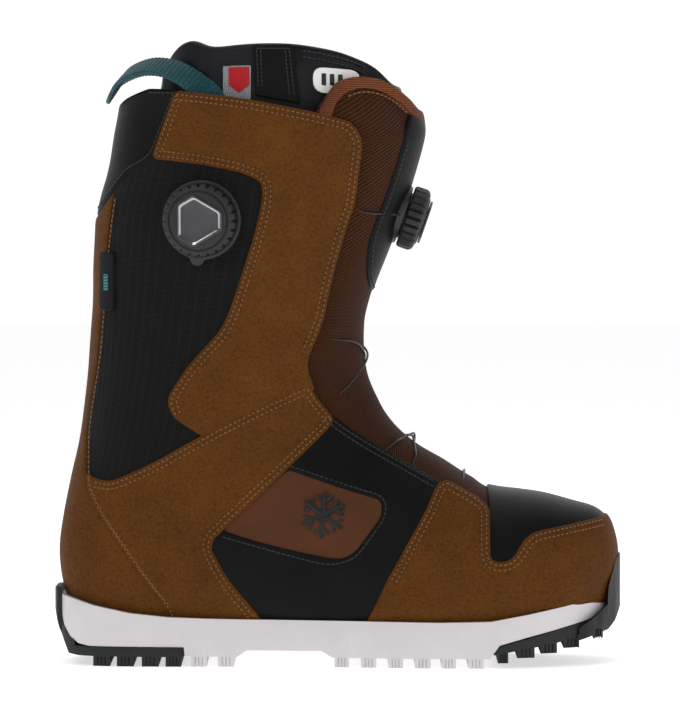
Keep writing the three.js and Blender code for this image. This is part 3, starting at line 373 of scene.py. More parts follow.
# Distance inside an outline, negative outside it.
def inside(places, outline):
    shape = outline if isinstance(outline, np.ndarray) else rounded(outline)
    a, b = shape, np.roll(shape, -1, 0)
    best = np.full(len(places), 1e9)
    odd = np.zeros(len(places), bool)
    x, z = places[:, 0], places[:, 1]
    for (ax, az), (bx, bz) in zip(a, b):
        dx, dz = bx - ax, bz - az
        size = dx * dx + dz * dz
        if size < 1e-12:
            continue
        u = (((x - ax) * dx + (z - az) * dz) / size).clip(0, 1)
        best = np.minimum(best, np.hypot(x - ax - u * dx, z - az - u * dz))
        rise = dz if abs(dz) > 1e-12 else 1e-12
        odd ^= ((az > z) != (bz > z)) & (x < dx * (z - az) / rise + ax)
    return np.where(odd, best, -best)


def meshObject(name, points, faces, material, cloth=None, smooth=True):
    mesh = bpy.data.meshes.new(name)
    mesh.from_pydata((np.asarray(points, float) * mm).tolist(), [], [list(map(int, f)) for f in faces])
    if cloth is not None:
        layer = mesh.uv_layers.new(name="cloth")
        index = np.zeros(len(mesh.loops), int)
        mesh.loops.foreach_get("vertex_index", index)
        layer.data.foreach_set("uv", np.asarray(cloth, float)[index].ravel())
    mesh.materials.append(finishes[material])
    mesh.polygons.foreach_set("use_smooth", [smooth] * len(mesh.polygons))
    mesh.update()
    piece = bpy.data.objects.new(name, mesh)
    bpy.context.scene.collection.objects.link(piece)
    return piece


# Four-sided faces between neighbouring rings of points; a closed ring joins up with itself.
def ringFaces(rings, count, closed=True):
    return [(k * count + i, k * count + (i + 1) % count, (k + 1) * count + (i + 1) % count,
             (k + 1) * count + i)
            for k in range(rings - 1) for i in range(count if closed else count - 1)]


# Splits triangles along value = level; keeps both parts, or only the part above it.
def splitAt(params, value, faces, level, keepBelow=True):
    v = value - level
    v = np.where(np.abs(v) < 0.04, 0.04, v)
    up = v > 0
    count = up[faces].sum(1)
    whole = faces[(count == 3) | ((count == 0) & keepBelow)]
    newParams, newValue, made = [params], [value], {}
    out = [whole]
    total = len(params)
    extra = []

    def cutPoint(i, j):
        nonlocal total
        key = (min(i, j), max(i, j))
        if key not in made:
            share = v[i] / (v[i] - v[j])
            extra.append(params[i] + share * (params[j] - params[i]))
            made[key] = total
            total += 1
        return made[key]

    built = []
    for face in faces[(count == 1) | (count == 2)]:
        lone = [k for k in range(3) if up[face[k]] == (up[face].sum() == 1)][0]
        a, b, c = face[lone], face[(lone + 1) % 3], face[(lone + 2) % 3]
        p, q = cutPoint(a, b), cutPoint(a, c)
        if up[a] or keepBelow:
            built.append((a, p, q))
        if not up[a] or keepBelow:
            built.append((p, b, c))
            built.append((p, c, q))
    if built:
        out.append(np.array(built, int))
    if extra:
        newParams.append(np.array(extra))
        newValue.append(np.full(len(extra), level))
    return np.concatenate(newParams), np.concatenate(newValue), np.concatenate(out)


def dropUnused(params, value, faces):
    used = np.unique(faces)
    lookup = np.full(len(params), -1)
    lookup[used] = np.arange(len(used))
    return params[used], value[used], lookup[faces]


def edgeLoops(faces):
    edges = np.concatenate([faces[:, [0, 1]], faces[:, [1, 2]], faces[:, [2, 0]]])
    key = np.sort(edges, 1)
    first, count = np.unique(key, axis=0, return_index=True, return_counts=True)[1:]
    return edges[first[count == 1]]


# A sewn panel: the part of the surface inside its outline, standing proud by lift with a rounded edge.
def panel(name, outline, material, lift, side=0, holes=(), span=(0, 28), radius=1.6, step=1.7, drop=2.2,
          liftOf=None, table=stationTable, front=(0, math.pi), edge=1.5):
    box = rounded(outline, edge)
    s0, s1 = span
    probe = readRows(table, np.linspace(s0, s1, 400))
    runF = np.hypot(*np.diff(probe[:, 0:2], axis=0).T)
    runB = np.hypot(*np.diff(probe[:, 2:4], axis=0).T)
    length = np.concatenate([[0], np.cumsum(np.maximum(runF, runB))])
    count = int(length[-1] / step) + 2
    stations = np.interp(np.linspace(0, length[-1], count), length, np.linspace(s0, s1, 400))
    around = int(150 / step * 1.1)
    low, high = front
    if side == 0:
        angles = np.linspace(-math.pi, math.pi, 2 * around + 1)
        if front != (0, math.pi):
            angles = np.linspace(-high, high, 2 * around + 1)
    elif side < 0:
        angles = np.linspace(low, high, around + 1)
    else:
        angles = np.linspace(-high, -low, around + 1)
    grid = np.stack(np.meshgrid(stations, angles, indexing="ij"), -1).reshape(-1, 2)
    n = len(angles)
    i, j = np.meshgrid(np.arange(count - 1), np.arange(n - 1), indexing="ij")
    a = (i * n + j).ravel()
    faces = np.concatenate([np.stack([a, a + n, a + n + 1], 1), np.stack([a, a + n + 1, a + 1], 1)])

    def depthAt(params):
        place = bootPoint(params[:, 0], params[:, 1], table)[:, [0, 2]]
        value = inside(place, box)
        for hole in holes:
            value = np.minimum(value, -inside(place, hole))
        return value

    value = depthAt(grid)
    near = value > -4
    faces = faces[near[faces].any(1)]
    params, value, faces = dropUnused(grid, value, faces)
    params, value, faces = splitAt(params, value, faces, 0.0, keepBelow=False)
    params, value, faces = dropUnused(params, value, faces)
    for level in (0.25 * radius, 0.6 * radius, 1.1 * radius):
        params, value, faces = splitAt(params, value, faces, level)
    points = bootPoint(params[:, 0], params[:, 1], table)
    normals = bootNormal(params[:, 0], params[:, 1], table)
    flat = (1 - np.minimum(np.maximum(value, 0) / radius, 1)) ** 2
    height = lift + 0.8 * (np.sqrt(1 - flat) - 1)
    if liftOf is not None:
        height = height + liftOf(points, value)
    top = points + normals * height[:, None]
    rim = edgeLoops(faces)
    ids = np.unique(rim)
    lookup = {int(k): len(points) + m for m, k in enumerate(ids)}
    under = points[ids] + normals[ids] * (height[ids] - drop)[:, None]
    # faces look outwards
    e1, e2 = top[faces[:, 1]] - top[faces[:, 0]], top[faces[:, 2]] - top[faces[:, 0]]
    if (np.cross(e1, e2) * normals[faces[:, 0]]).sum() < 0:
        faces = faces[:, ::-1]
        rim = rim[:, ::-1]
    skirt = [(int(p), lookup[int(p)], lookup[int(q)], int(q)) for p, q in rim]
    cloth = np.stack([np.interp(params[:, 0], np.linspace(s0, s1, 400), length), params[:, 1] * 42.0], -1)
    cloth = np.concatenate([cloth, cloth[ids]])
    allFaces = [tuple(f) for f in faces] + skirt
    return meshObject(name, np.concatenate([top, under]), allFaces, material, cloth)


# Thread along a side-view run: short round stitches, each dipping into the leather at its ends.
def stitches(name, run, material, lift, side, inset=0.0, pitch=2.7, size=0.42, table=stationTable):
    run = np.asarray(run, float)
    steps = np.concatenate([[0], np.cumsum(np.hypot(*np.diff(run, axis=0).T))])
    fine = np.linspace(0, steps[-1], max(int(steps[-1] / 0.5), 4))
    line = np.stack([np.interp(fine, steps, run[:, k]) for k in (0, 1)], -1)
    kernel = np.ones(9) / 9
    padded = np.concatenate([np.repeat(line[:1], 4, 0), line, np.repeat(line[-1:], 4, 0)])
    line = np.stack([np.convolve(padded[:, k], kernel, "valid") for k in (0, 1)], -1)
    tangent = np.gradient(line, axis=0)
    tangent /= np.maximum(np.linalg.norm(tangent, axis=1, keepdims=True), 1e-9)
    line = line + inset * np.stack([-tangent[:, 1], tangent[:, 0]], -1)
    station, angle = locate(line, side, table)
    points = bootPoint(station, angle, table)
    normals = bootNormal(station, angle, table)
    steps = np.concatenate([[0], np.cumsum(np.linalg.norm(np.diff(points, axis=0), axis=1))])
    count = int(steps[-1] / pitch)
    verts, faces = [], []
    ringAngles = np.linspace(0, 2 * math.pi, 6, endpoint=False)
    for k in range(count):
        marks = (k + np.array([0.08, 0.25, 0.5, 0.75, 0.92])) * pitch
        centre = np.stack([np.interp(marks, steps, points[:, c]) for c in range(3)], -1)
        up = np.stack([np.interp(marks, steps, normals[:, c]) for c in range(3)], -1)
        up /= np.linalg.norm(up, axis=1, keepdims=True)
        along = centre[-1] - centre[0]
        along /= max(np.linalg.norm(along), 1e-9)
        rise = np.array([-0.42, 0.02, 0.2, 0.02, -0.42]) * size * 1.6 + lift
        width = np.array([0.55, 0.95, 1.0, 0.95, 0.55]) * size
        first = len(verts)
        for m in range(5):
            aside = np.cross(along, up[m])
            for r in ringAngles:
                out = up[m] * (rise[m] + math.sin(r) * width[m])
                verts.append(centre[m] + out + aside * math.cos(r) * width[m])
        for m in range(4):
            for r in range(6):
                a, b = first + m * 6 + r, first + m * 6 + (r + 1) % 6
                faces.append((a, b, b + 6, a + 6))
        faces.append(tuple(first + r for r in range(5, -1, -1)))
        faces.append(tuple(first + 24 + r for r in range(6)))
    threads = len(faces)
    # Painted shadow: a flat dark disc at each needle hole, between the stitches.
    for k in range(count):
        mark = k * pitch
        here = np.array([np.interp(mark, steps, points[:, c]) for c in range(3)])
        up = np.array([np.interp(mark, steps, normals[:, c]) for c in range(3)])
        up /= np.linalg.norm(up)
        ahead = np.array([np.interp(mark + 0.3, steps, points[:, c]) for c in range(3)]) - here
        ahead /= max(np.linalg.norm(ahead), 1e-9)
        aside = np.cross(ahead, up)
        first = len(verts)
        for turn in np.linspace(0, 2 * math.pi, 7)[:-1]:
            spread = (ahead * math.cos(turn) * 1.3 + aside * math.sin(turn) * 1.15) * size
            verts.append(here + up * (lift + 0.05) + spread)
        faces.append(tuple(first + r for r in range(6)))
    piece = meshObject(name, np.array(verts), faces, material)
    piece.data.materials.append(finishes["needleHoleShadow"])
    for polygon in piece.data.polygons[threads:]:
        polygon.material_index = 1
    return piece


def join(pieces, name):
    pieces = [p for p in pieces if p is not None]
    with bpy.context.temp_override(active_object=pieces[0], selected_editable_objects=pieces):
        bpy.ops.object.join()
    pieces[0].name = name
    return pieces[0]


# Outlines of the sewn parts, seen from the side: x, z and maybe a corner radius.

toeCapShape = [(10.5, 16), (25.5, 46.5), (46, 83.5), (51.5, 96, 3), (56.5, 98, 3), (73, 89, 3),
               (79.5, 83.5, 3),
               (79.5, 56, 12), (90.5, 56, 6), (99, 70.5, 8), (140.5, 77.5, 20), (161, 82), (161, 16)]
vampShape = [(79.3, 125), (79.3, 84, 1), (76, 70), (76, 50), (100, 50), (165, 70), (165, 125)]
heelStrapShape = [(-134, 102), (-129, 99), (-120.5, 97.5, 6), (-101.5, 106, 30), (-69.5, 124, 30),
                  (-43.5, 137.5, 30),
                  (-16.5, 149.5, 3), (-11, 140.5, 4), (-2.5, 130.5, 3), (-5.5, 125.5, 6), (-26, 105.5, 20),
                  (-61.5, 72, 6), (-68.5, 65, 8), (-59, 46.5, 10), (-42.5, 27.5, 10), (-36, 16), (-86, 16),
                  (-91, 30.5, 10), (-104, 46.5, 20), (-126, 78.5, 20), (-133, 92, 8)]
backStayShape = [(-129.5, 235.5), (-116, 254.5, 4), (-119.5, 248), (-122.5, 227, 20), (-125, 196.5, 20),
                 (-127.5, 164, 20),
                 (-130, 149.5, 10), (-134, 123.5, 10), (-134, 102, 4), (-132.4, 92, 8), (-125.4, 78.5, 20),
                 (-103.4, 46.5, 20),
                 (-90.4, 30.5, 10), (-84, 16), (-168, 16), (-168, 235.5)]
collarShape = [(-119, 294, 5), (-114.5, 299, 4), (-108.5, 302, 4), (-100.5, 305), (-84, 304.5), (-98, 268, 6),
               (-110.5, 261.5, 6),
               (-116, 254.5, 2), (-128, 238), (-130.5, 234.5, 3), (-158, 234.5), (-158, 278), (-126, 284, 6)]
cuffShape = [(-86, 304, 2), (-47, 299.5, 30), (-10, 292, 20), (7, 287.5, 5), (12.5, 278, 6), (10, 258, 20),
             (8, 243, 10),
             (5, 236, 10), (-4, 204.5, 20), (-8.5, 181.5, 20), (-15.5, 165.5, 10), (-17, 158, 4), (-13, 146),
             (-42, 132),
             (-66, 118), (-87.5, 131.5, 7), (-91, 141, 7), (-83, 154.5, 10), (-74.5, 165, 10),
             (-62.5, 177.5, 12),
             (-56.5, 191, 14), (-45, 227, 20), (-40.5, 246.5, 10), (-40.5, 256, 6), (-52, 261, 10),
             (-72, 265, 20),
             (-99, 268, 4)]
cuffPanelShape = [(-93, 278), (-30, 266), (-30, 240), (-44, 185), (-55, 165), (-75, 110), (-101.5, 99),
                  (-120.5, 92),
                  (-145, 96), (-145, 150), (-134, 215), (-125, 252), (-110.5, 270)]
quarterShape = [(-14, 146), (-11, 140.8, 2), (-1.5, 130.5, 12), (14, 120, 20), (53, 98), (66, 84), (28, 16),
                (-52, 16),
                (-78, 60), (-30, 118)]
windowShape = [(-27, 104), (2, 94, 12), (22.5, 88, 6), (22.5, 80, 5), (7, 59, 7), (-5.5, 56, 8),
               (-29.5, 62, 20),
               (-63, 71.5)]
tongueShape = [(86, 130), (86, 82), (70, 82), (52, 90), (10, 112), (-8, 124), (-20, 141), (-25, 158),
               (-23, 168),
               (-15, 186),
               (-10, 206), (-1, 238), (3, 260), (5, 276), (-6, 286), (-12, 291), (-10, 295.5), (-5.5, 301.5),
               (-0.5, 307, 4), (11, 309, 6), (24, 305.8), (33, 300, 6), (39, 292.5), (60, 284), (70, 280),
               (45, 175), (95, 135)]
bindingShape = [(-12, 289), (-9.5, 295), (-5.5, 301.5), (-0.5, 308.5, 4), (11, 311.8, 6), (22, 309.8),
                (31, 305, 6),
                (38, 299, 6), (42, 294), (60, 287), (60, 280), (42, 287), (37, 293, 6), (31, 299, 6),
                (23, 303.8, 6),
                (13, 305.8, 6), (3, 303, 4), (-2.5, 296, 3), (-4.5, 287), (-12, 285)]
shieldShape = [(37.5, 291.5), (34, 278, 20), (26, 252, 20), (15.5, 225.5, 8), (14, 207, 8), (16.5, 197.5, 3),
               (70, 197.5),
               (70, 280)]
tabShape = [(-126, 218.5), (-118, 218.5), (-118, 187.5), (-126, 187.5)]

outer, inner = -1, 1


def onShell(piece, *nodes):
    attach(piece, "shell")
    if nodes:
        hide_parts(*nodes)
    return piece


upper = {"overlayLift": 1.3, "baseLift": 0.15, "stayLift": 1.0, "windowLift": -0.5, "stitchInset": 2.0,
         "secondRow": 4.6}


# Where the sewn parts pucker a little along their seams and crease softly at the ankle.
def softCreases(points, value):
    x, z = points[:, 0], points[:, 2]
    swell = 0.35 * np.sin(x * 0.13 + z * 0.05) * np.sin(z * 0.11 - x * 0.04)
    ankle = np.exp(-((x + 30) / 60) ** 2 - ((z - 165) / 40) ** 2)
    fold = 0.5 * ankle * np.sin((z * 0.9 + x * 0.5) * 0.33)
    return (swell + fold) * np.clip(value / 8, 0, 1)


def buildUpper():
    u = upper
    proud = u["overlayLift"]
    onShell(panel("toeCap", toeCapShape, "brownLeather", proud, 0, span=(0, 12), liftOf=softCreases),
            "toe_cap")
    onShell(panel("vamp", vampShape, "blackLeather", u["baseLift"], 0, span=(0, 10), liftOf=softCreases),
            "vamp")
    onShell(panel("backStay", backStayShape, "brownLeather", u["stayLift"], 0, span=(8, 26),
                  liftOf=softCreases), "back_stay")
    onShell(panel("rearCollar", collarShape, "blackLeather", 0.6, 0, span=(20, 27.5), liftOf=softCreases),
            "rear_collar")
    for side, word in ((outer, "outer"), (inner, "inner")):
        onShell(panel("heelStrap_" + word, heelStrapShape, "brownLeather", proud, side, span=(6, 20),
                      liftOf=softCreases),
                "heel_strap_" + word)
        onShell(panel("cuffOverlay_" + word, cuffShape, "brownLeather", proud - 0.1, side, span=(11, 27.5),
                      liftOf=softCreases),
                "cuff_overlay_" + word)
        onShell(panel("cuffPanel_" + word, cuffPanelShape, "ripstop", u["baseLift"], side, span=(10, 27),
                      liftOf=softCreases), "cuff_panel_" + word)
        onShell(panel("quarter_" + word, quarterShape, "blackLeather", 0.3, side,
                      holes=[rounded(windowShape)], span=(5, 18),
                      liftOf=softCreases), "quarter_" + word)
        onShell(panel("quarterWindow_" + word,
                      [(-40, 112), (30, 95), (30, 60), (10, 50), (-35, 55), (-75, 66)], "suede",
                      u["windowLift"], side, span=(6, 18)), "quarter_window_" + word)
    print("upper cut and lasted")


# Part of an outline, from one corner to another, with the corners between them rounded.
def run(outline, first, last):
    picked = [outline[k % len(outline)] for k in range(first, last + 1)]
    fine = []
    for k in range(len(picked)):
        if 0 < k < len(picked) - 1:
            fine += corner(picked[k - 1], picked[k], picked[k + 1], 1.5)
        else:
            fine.append(np.array(picked[k][:2], float))
    return np.array(fine)


def buildStitches():
    proud = upper["overlayLift"]
    one, two = upper["stitchInset"], upper["secondRow"]
    for side, word in ((outer, "outer"), (inner, "inner")):
        rows = []

        def sew(outline, first, last, lift, insets, thread="brownThread", turn=1):
            for inset in insets:
                rows.append(stitches("row", run(outline, first, last), thread, lift, side, turn * inset))
        sew(toeCapShape, 1, 10, proud, (one, two), turn=-1)
        sew(heelStrapShape, 1, 8, proud, (one, two), turn=-1)
        sew(heelStrapShape, 8, 14, proud, (one, two), turn=-1)
        sew(heelStrapShape, 16, 21, proud, (one,), turn=-1)
        sew(cuffShape, 0, 10, proud, (one, two), turn=-1)
        sew(cuffShape, 15, 27, proud, (one, two), turn=-1)
        sew(backStayShape, 2, 12, upper["stayLift"], (one,), turn=1)
        black = []
        for outline, first, last, lift, inset in ((quarterShape, 1, 4, 0.3, 2.0),
                                                  (quarterShape, 1, 4, 0.3, 4.6),
                                                  (windowShape, 0, 7, 0.3, -2.2),
                                                  (collarShape, 3, 8, 0.6, 2.0)):
            black.append(stitches("row", run(outline, first, last), "blackThread", lift, side, -inset))
        onShell(join(rows, "brownStitching_" + word))
        onShell(join(black, "blackStitching_" + word))
    print("stitched")


buildUpper()
buildStitches()


def onTongue(piece, *nodes):
    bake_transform(piece)
    if nodes:
        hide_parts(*nodes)
    return piece


def smoothStep(value, low, high):
    t = np.clip((value - low) / (high - low), 0, 1)
    return t * t * (3 - 2 * t)


def tongueSwell(points, value):
    dip = -1.5 + 1.5 * smoothStep(value, 6, 16)
    x, z = points[:, 0], points[:, 2]
    return dip + 0.3 * np.sin(z * 0.16 + x * 0.05) * np.exp(-((z - 165) / 35) ** 2)


def buildTongue():
    onTongue(panel("tongueCloth", tongueShape, "tongueCloth", 0.0, 0, span=(4, 28), liftOf=tongueSwell,
                   drop=3.5,
                   front=(0, 2.2)), "tongue_lower", "tongue_upper",
             "tongue_gusset_outer", "tongue_gusset_inner")
    onTongue(panel("tongueBinding", bindingShape, "bindingTape", 1.0, 0, span=(22, 28), drop=5.5, radius=2.6,
                   front=(0, 2.2)), "tongue_binding")
    onTongue(panel("tongueShield", shieldShape, "blackLeather", 0.9, 0, span=(17, 27), radius=1.2,
                   front=(0, 1.6)),
             "tongue_shield")
    seams = []
    for side in (outer, inner):
        seams.append(stitches("row", run(bindingShape, 12, 17)[:-1], "brownThread", 1.0, side, 2.0))
        seams.append(stitches("row", run(shieldShape, 1, 5), "blackThread", 0.9, side, 2.0))
    onTongue(join(seams, "tongueStitching"))
    print("tongue made")


buildTongue()


def prism(name, outline, low, high, flat):
    places = np.asarray([p[:2] for p in outline], float)
    n = len(places)
    if flat == "xz":
        points = [(x, low, z) for x, z in places] + [(x, high, z) for x, z in places]
    else:
        points = [(x, y, low) for x, y in places] + [(x, y, high) for x, y in places]
    faces = [tuple(range(n)), tuple(range(2 * n - 1, n - 1, -1))]
    faces += [(i, n + i, n + (i + 1) % n, (i + 1) % n) for i in range(n)]
    piece = meshObject(name, points, faces, "eva", smooth=False)
    bpy.context.view_layer.objects.active = piece
    fixNormals(piece)
    return piece


def fixNormals(piece):
    work = bmesh.new()
    work.from_mesh(piece.data)
    bmesh.ops.recalc_face_normals(work, faces=work.faces)
    work.to_mesh(piece.data)
    work.free()


def cutWith(piece, others, operation):
    for other in others:
        cutter = piece.modifiers.new("cut", "BOOLEAN")
        cutter.operation = operation
        cutter.solver = "EXACT"
        cutter.object = other
    settle(piece)
    for other in others:
        bpy.data.objects.remove(other)
    return piece


def settle(piece):
    depsgraph = bpy.context.evaluated_depsgraph_get()
    mesh = bpy.data.meshes.new_from_object(piece.evaluated_get(depsgraph))
    piece.modifiers.clear()
    piece.data = mesh
    return piece


def soften(piece, width, material, segments=3):
    bevel = piece.modifiers.new("soft edges", "BEVEL")
    bevel.width = width * mm
    bevel.segments = segments
    bevel.limit_method = "ANGLE"
    bevel.angle_limit = math.radians(32)
    bevel.harden_normals = False
    settle(piece)
    piece.data.materials.clear()
    piece.data.materials.append(finishes[material])
    for polygon in piece.data.polygons:
        polygon.use_smooth = True
    piece.data.set_sharp_from_angle(angle=math.radians(40))
    return piece


solePlan = [(-149, 0), (-145, -22), (-130, -36), (-105, -41), (-70, -42.5), (-35, -43.5), (0, -46.5),
            (30, -51.5),
            (60, -54.5), (85, -53.5), (110, -46), (130, -32), (142, -14), (146, 4), (143, 22), (130, 37),
            (110, 46.5),
            (85, 51), (60, 50.5), (35, 47), (10, 42.5), (-20, 39.5), (-50, 38.5), (-80, 39), (-110, 39),
            (-132, 34.5),
            (-145, 21)]


def smoothPlan(distance, count=240):
    plan = np.array(solePlan, float)
    n = len(plan)
    u = np.linspace(0, n, count, endpoint=False)
    i = u.astype(int)
    t = (u - i)[:, None]
    p0, p1, p2, p3 = plan[(i - 1) % n], plan[i % n], plan[(i + 1) % n], plan[(i + 2) % n]
    curve = smoothBetween(p0, p1, p2, p3, t)
    tangent = np.roll(curve, -1, 0) - np.roll(curve, 1, 0)
    tangent /= np.linalg.norm(tangent, axis=1, keepdims=True)
    return curve + distance * np.stack([tangent[:, 1], -tangent[:, 0]], -1)


sole = {
    "midsoleLugs": [(68, 76.2, 0), (54, 61.6, 0), (40, 48.2, 0), (26, 33.7, 0), (11.6, 19.6, 0),
                    (-2.4, 5.3, 0),
                    (-64, -55.3, 0), (-78.2, -69.8, 0)],
    "heelLugs": [(-91.6, -83.4, 0), (-104.2, -95.3, 0), (-117.4, -108.5, 0), (-130, -121, 0)],
    "toeLugs": [(134.6, 140, 14.2), (118.5, 127, 9.8), (106.2, 115, 7.4), (93.7, 103, 5.3), (83.6, 89, 2.7)],
    "groove": 4.0, "grooveDepth": 4.0, "grooveOffset": 18.0, "bumper": 2.6, "toeBumper": 4.4,
    "midsoleProfile": [(-148.4, 36.5), (-147, 36.5), (-138, 34.2), (-130.5, 32), (-110.5, 28), (-90.5, 26),
                       (-70, 25.3),
                       (-52, 25), (0, 24.5), (53, 24), (80, 24.5), (100, 28), (120.5, 32), (142.5, 36.5),
                       (149, 37.6),
                       (149, 33), (142.5, 31), (133.5, 24.5), (113.5, 19.5), (99, 16), (84.5, 12), (79.5, 5),
                       (-3.5, 5), (-9.5, 8.5),
                       (-48.6, 8.6), (-54, 5), (-81.5, 5.5), (-82, 10.3),
                       (-132, 10.5), (-138, 11.6), (-142.8, 15), (-146.2, 20.5), (-147.9, 27)],
    "heelInside": [(-160, 60), (-148.6, 60), (-148.3, 36), (-148, 27), (-146.4, 20.4), (-142.9, 14.8),
                   (-138, 11.4),
                   (-132, 10.3), (-60, 10.1), (-60, 90), (-147, 90), (-147, 61)],
    "ribs": [0.28, 0.5, 0.72], "ribWidth": 0.7,
    "heelProfile": [(-82.5, 10), (-82.5, 5), (-138, 5.2), (-143.5, 6), (-149, 19), (-152.4, 33),
                    (-152.4, 38.5),
                    (-150.6, 40.5),
                    (-140, 40.5), (-140, 10.2)],
    "toeGuardProfile": [(142.8, 35), (143.4, 42), (145.6, 49), (147.6, 55), (149.4, 57), (152, 57), (153, 55),
                        (153, 37),
                        (150.3, 29.5), (147, 22.5), (143, 18.3), (134.6, 16), (127, 13.5), (127, 20),
                        (133.8, 24.1),
                        (142.8, 31.6)],
    "toeProfile": [(142.8, 36.5), (143.3, 42), (145, 48), (147.5, 55), (149.5, 57.5), (152, 57.5), (153, 55),
                   (153, 36), (149.5, 30),
                   (147, 23), (143, 19.5), (134.6, 18.8), (127, 15.2), (115, 12.8), (103, 10.6), (89, 8.2),
                   (81.3, 6.9),
                   (84.9, 11.4), (113.6, 19.1), (133.8, 24.1), (142.8, 31.6)],
}


def soleBlock(name, profile, lugs, plans):
    block = prism(name, sole[profile], -90, 90, "xz")
    feet = [prism("lug", [(a, z), (b, z), (b, z + 6.5), (a, z + 6.5)], -90, 90, "xz") for a, b,
            z in sole[lugs]]
    cutWith(block, feet, "UNION")
    cutWith(block, plans, "INTERSECT")
    grooves = []
    for y in (-sole["grooveOffset"], sole["grooveOffset"]):
        half = sole["groove"] / 2
        grooves.append(prism("groove", [(-170, y - half), (170, y - half), (170, y + half),
                                        (-170, y + half)], -2,
                             sole["grooveDepth"], "xy"))
    return cutWith(block, grooves, "DIFFERENCE")


# Fine upright ribs on the sides of each lug.
def ribCutter(lugs, depth):
    half = sole["ribWidth"] / 2
    slots = [prism("rib", [(x - half, z - 1), (x + half, z - 1), (x + half, z + 5), (x - half, z + 5)], -90,
                   90, "xz")
             for a, b, z in sole[lugs] for x in [a + (b - a) * u for u in sole["ribs"]]]
    return cutWith(join(slots, "ribs"), [prism("plan", smoothPlan(depth), -5, 60, "xy")], "DIFFERENCE")


def buildSole():
    midsole = soleBlock("midsoleFoam", "midsoleProfile", "midsoleLugs",
                        [prism("plan", smoothPlan(0), -2, 60, "xy")])
    cutWith(midsole, [ribCutter("midsoleLugs", -0.7)], "DIFFERENCE")
    onShell(soften(midsole, 0.9, "eva"), "midsole")
    heel = soleBlock("heelRubber", "heelProfile", "heelLugs", [prism("plan", smoothPlan(0.4), -2, 60, "xy")])
    cutWith(heel, [prism("inside", sole["heelInside"], -90, 90, "xz")], "DIFFERENCE")
    heelGuard = soleBlock("guard", "heelProfile", "heelLugs",
                          [prism("plan", smoothPlan(sole["bumper"]), -2, 70, "xy")])
    cutWith(heelGuard, [prism("span", [(-160, -16), (-144, -16), (-144, 16), (-160, 16)], -5, 80, "xy")],
            "INTERSECT")
    cutWith(heelGuard, [prism("plan", smoothPlan(0.1), 10.05, 90, "xy")], "DIFFERENCE")
    cutWith(heel, [heelGuard], "UNION")
    cutWith(heel, [ribCutter("heelLugs", -0.3)], "DIFFERENCE")
    onShell(soften(heel, 0.6, "rubber"), "heel_outsole")
    toe = soleBlock("toeRubber", "toeProfile", "toeLugs", [prism("plan", smoothPlan(0.3), -2, 60, "xy")])
    cutWith(toe, [prism("ahead", [(142.6, 31), (170, 31), (170, 80), (142.6, 80)], -90, 90, "xz")],
            "DIFFERENCE")
    toeGuard = soleBlock("guard", "toeGuardProfile", "toeLugs",
                         [prism("plan", smoothPlan(sole["toeBumper"]), -2, 70, "xy")])
    cutWith(toeGuard, [prism("span", [(126, -37), (165, -37), (165, 41), (126, 41)], -5, 80, "xy")],
            "INTERSECT")
    cutWith(toeGuard, [prism("plan", smoothPlan(0.1), 20, 90, "xy")], "DIFFERENCE")
    cutWith(toe, [toeGuard], "UNION")
    cutWith(toe, [ribCutter("toeLugs", -0.3)], "DIFFERENCE")
    onShell(soften(toe, 0.6, "rubber"), "toe_outsole")
    print("sole moulded")


buildSole()


# A rubber shape in relief that lies on a panel and follows its surface.
def badge(name, places, material, height, side, table=stationTable, base=0.0):
    flat = np.asarray(places, float)
    station, angle = locate(flat, side, table)
    points = bootPoint(station, angle, table)
    normals = bootNormal(station, angle, table)
    n = len(flat)
    top = points + normals * (base + height)
    low = points + normals * (base - 0.6)
    middle = top.mean(0) + normals.mean(0) * 0.1
    faces = [(i, (i + 1) % n, 2 * n) for i in range(n)]
    faces = [(a, b, c) if side < 0 else (b, a, c) for a, b, c in faces]
    for i in range(n):
        j = (i + 1) % n
        faces.append((i, n + i, n + j, j) if side < 0 else (j, n + j, n + i, i))
    return meshObject(name, np.concatenate([top, low, middle[None]]), faces, material, smooth=False)


emblem = {"centre": (-8.2, 80.4), "arm": 11.2, "width": 2.3, "hub": 4.2, "tilt": 24, "twigAt": 6.4,
          "twig": 4.6,
          "height": 1.1}


def bar(a, b, width):
    a, b = np.array(a, float), np.array(b, float)
    run = (b - a) / np.linalg.norm(b - a)
    off = np.array([-run[1], run[0]]) * width / 2
    ends = []
    for u in np.linspace(0, 1, 7):
        ends.append(a + (b - a) * u - off)
    for turn in np.linspace(-90, 90, 7)[1:-1]:
        c, s = math.cos(math.radians(turn)), math.sin(math.radians(turn))
        ends.append(b + run * width / 2 * c + off * s)
    for u in np.linspace(1, 0, 7):
        ends.append(a + (b - a) * u + off)
    return np.array(ends)


def buildEmblem():
    centre = np.array(emblem["centre"])
    for side, word in ((outer, "outer"), (inner, "inner")):
        parts = []
        for arm in range(6):
            turn = math.radians(emblem["tilt"] + 60 * arm)
            way = np.array([math.cos(turn), math.sin(turn)])
            parts.append(bar(centre, centre + way * emblem["arm"], emblem["width"]))
            for lean in (-50, 50):
                branch = turn + math.radians(lean)
                start = centre + way * emblem["twigAt"]
                end = start + emblem["twig"] * np.array([math.cos(branch), math.sin(branch)])
                parts.append(bar(start, end, emblem["width"] * 0.8))
        around = np.linspace(0, 2 * math.pi, 40, endpoint=False)
        parts.append(centre + emblem["hub"] * np.stack([np.cos(around), np.sin(around)], -1))
        pieces = [badge("part", shape, "emblemRubber", emblem["height"] - 0.06 * k, side, base=-0.5)
                  for k, shape in enumerate(parts)]
        onShell(join(pieces, "emblem_" + word), "emblem_" + word)
    print("emblems made")


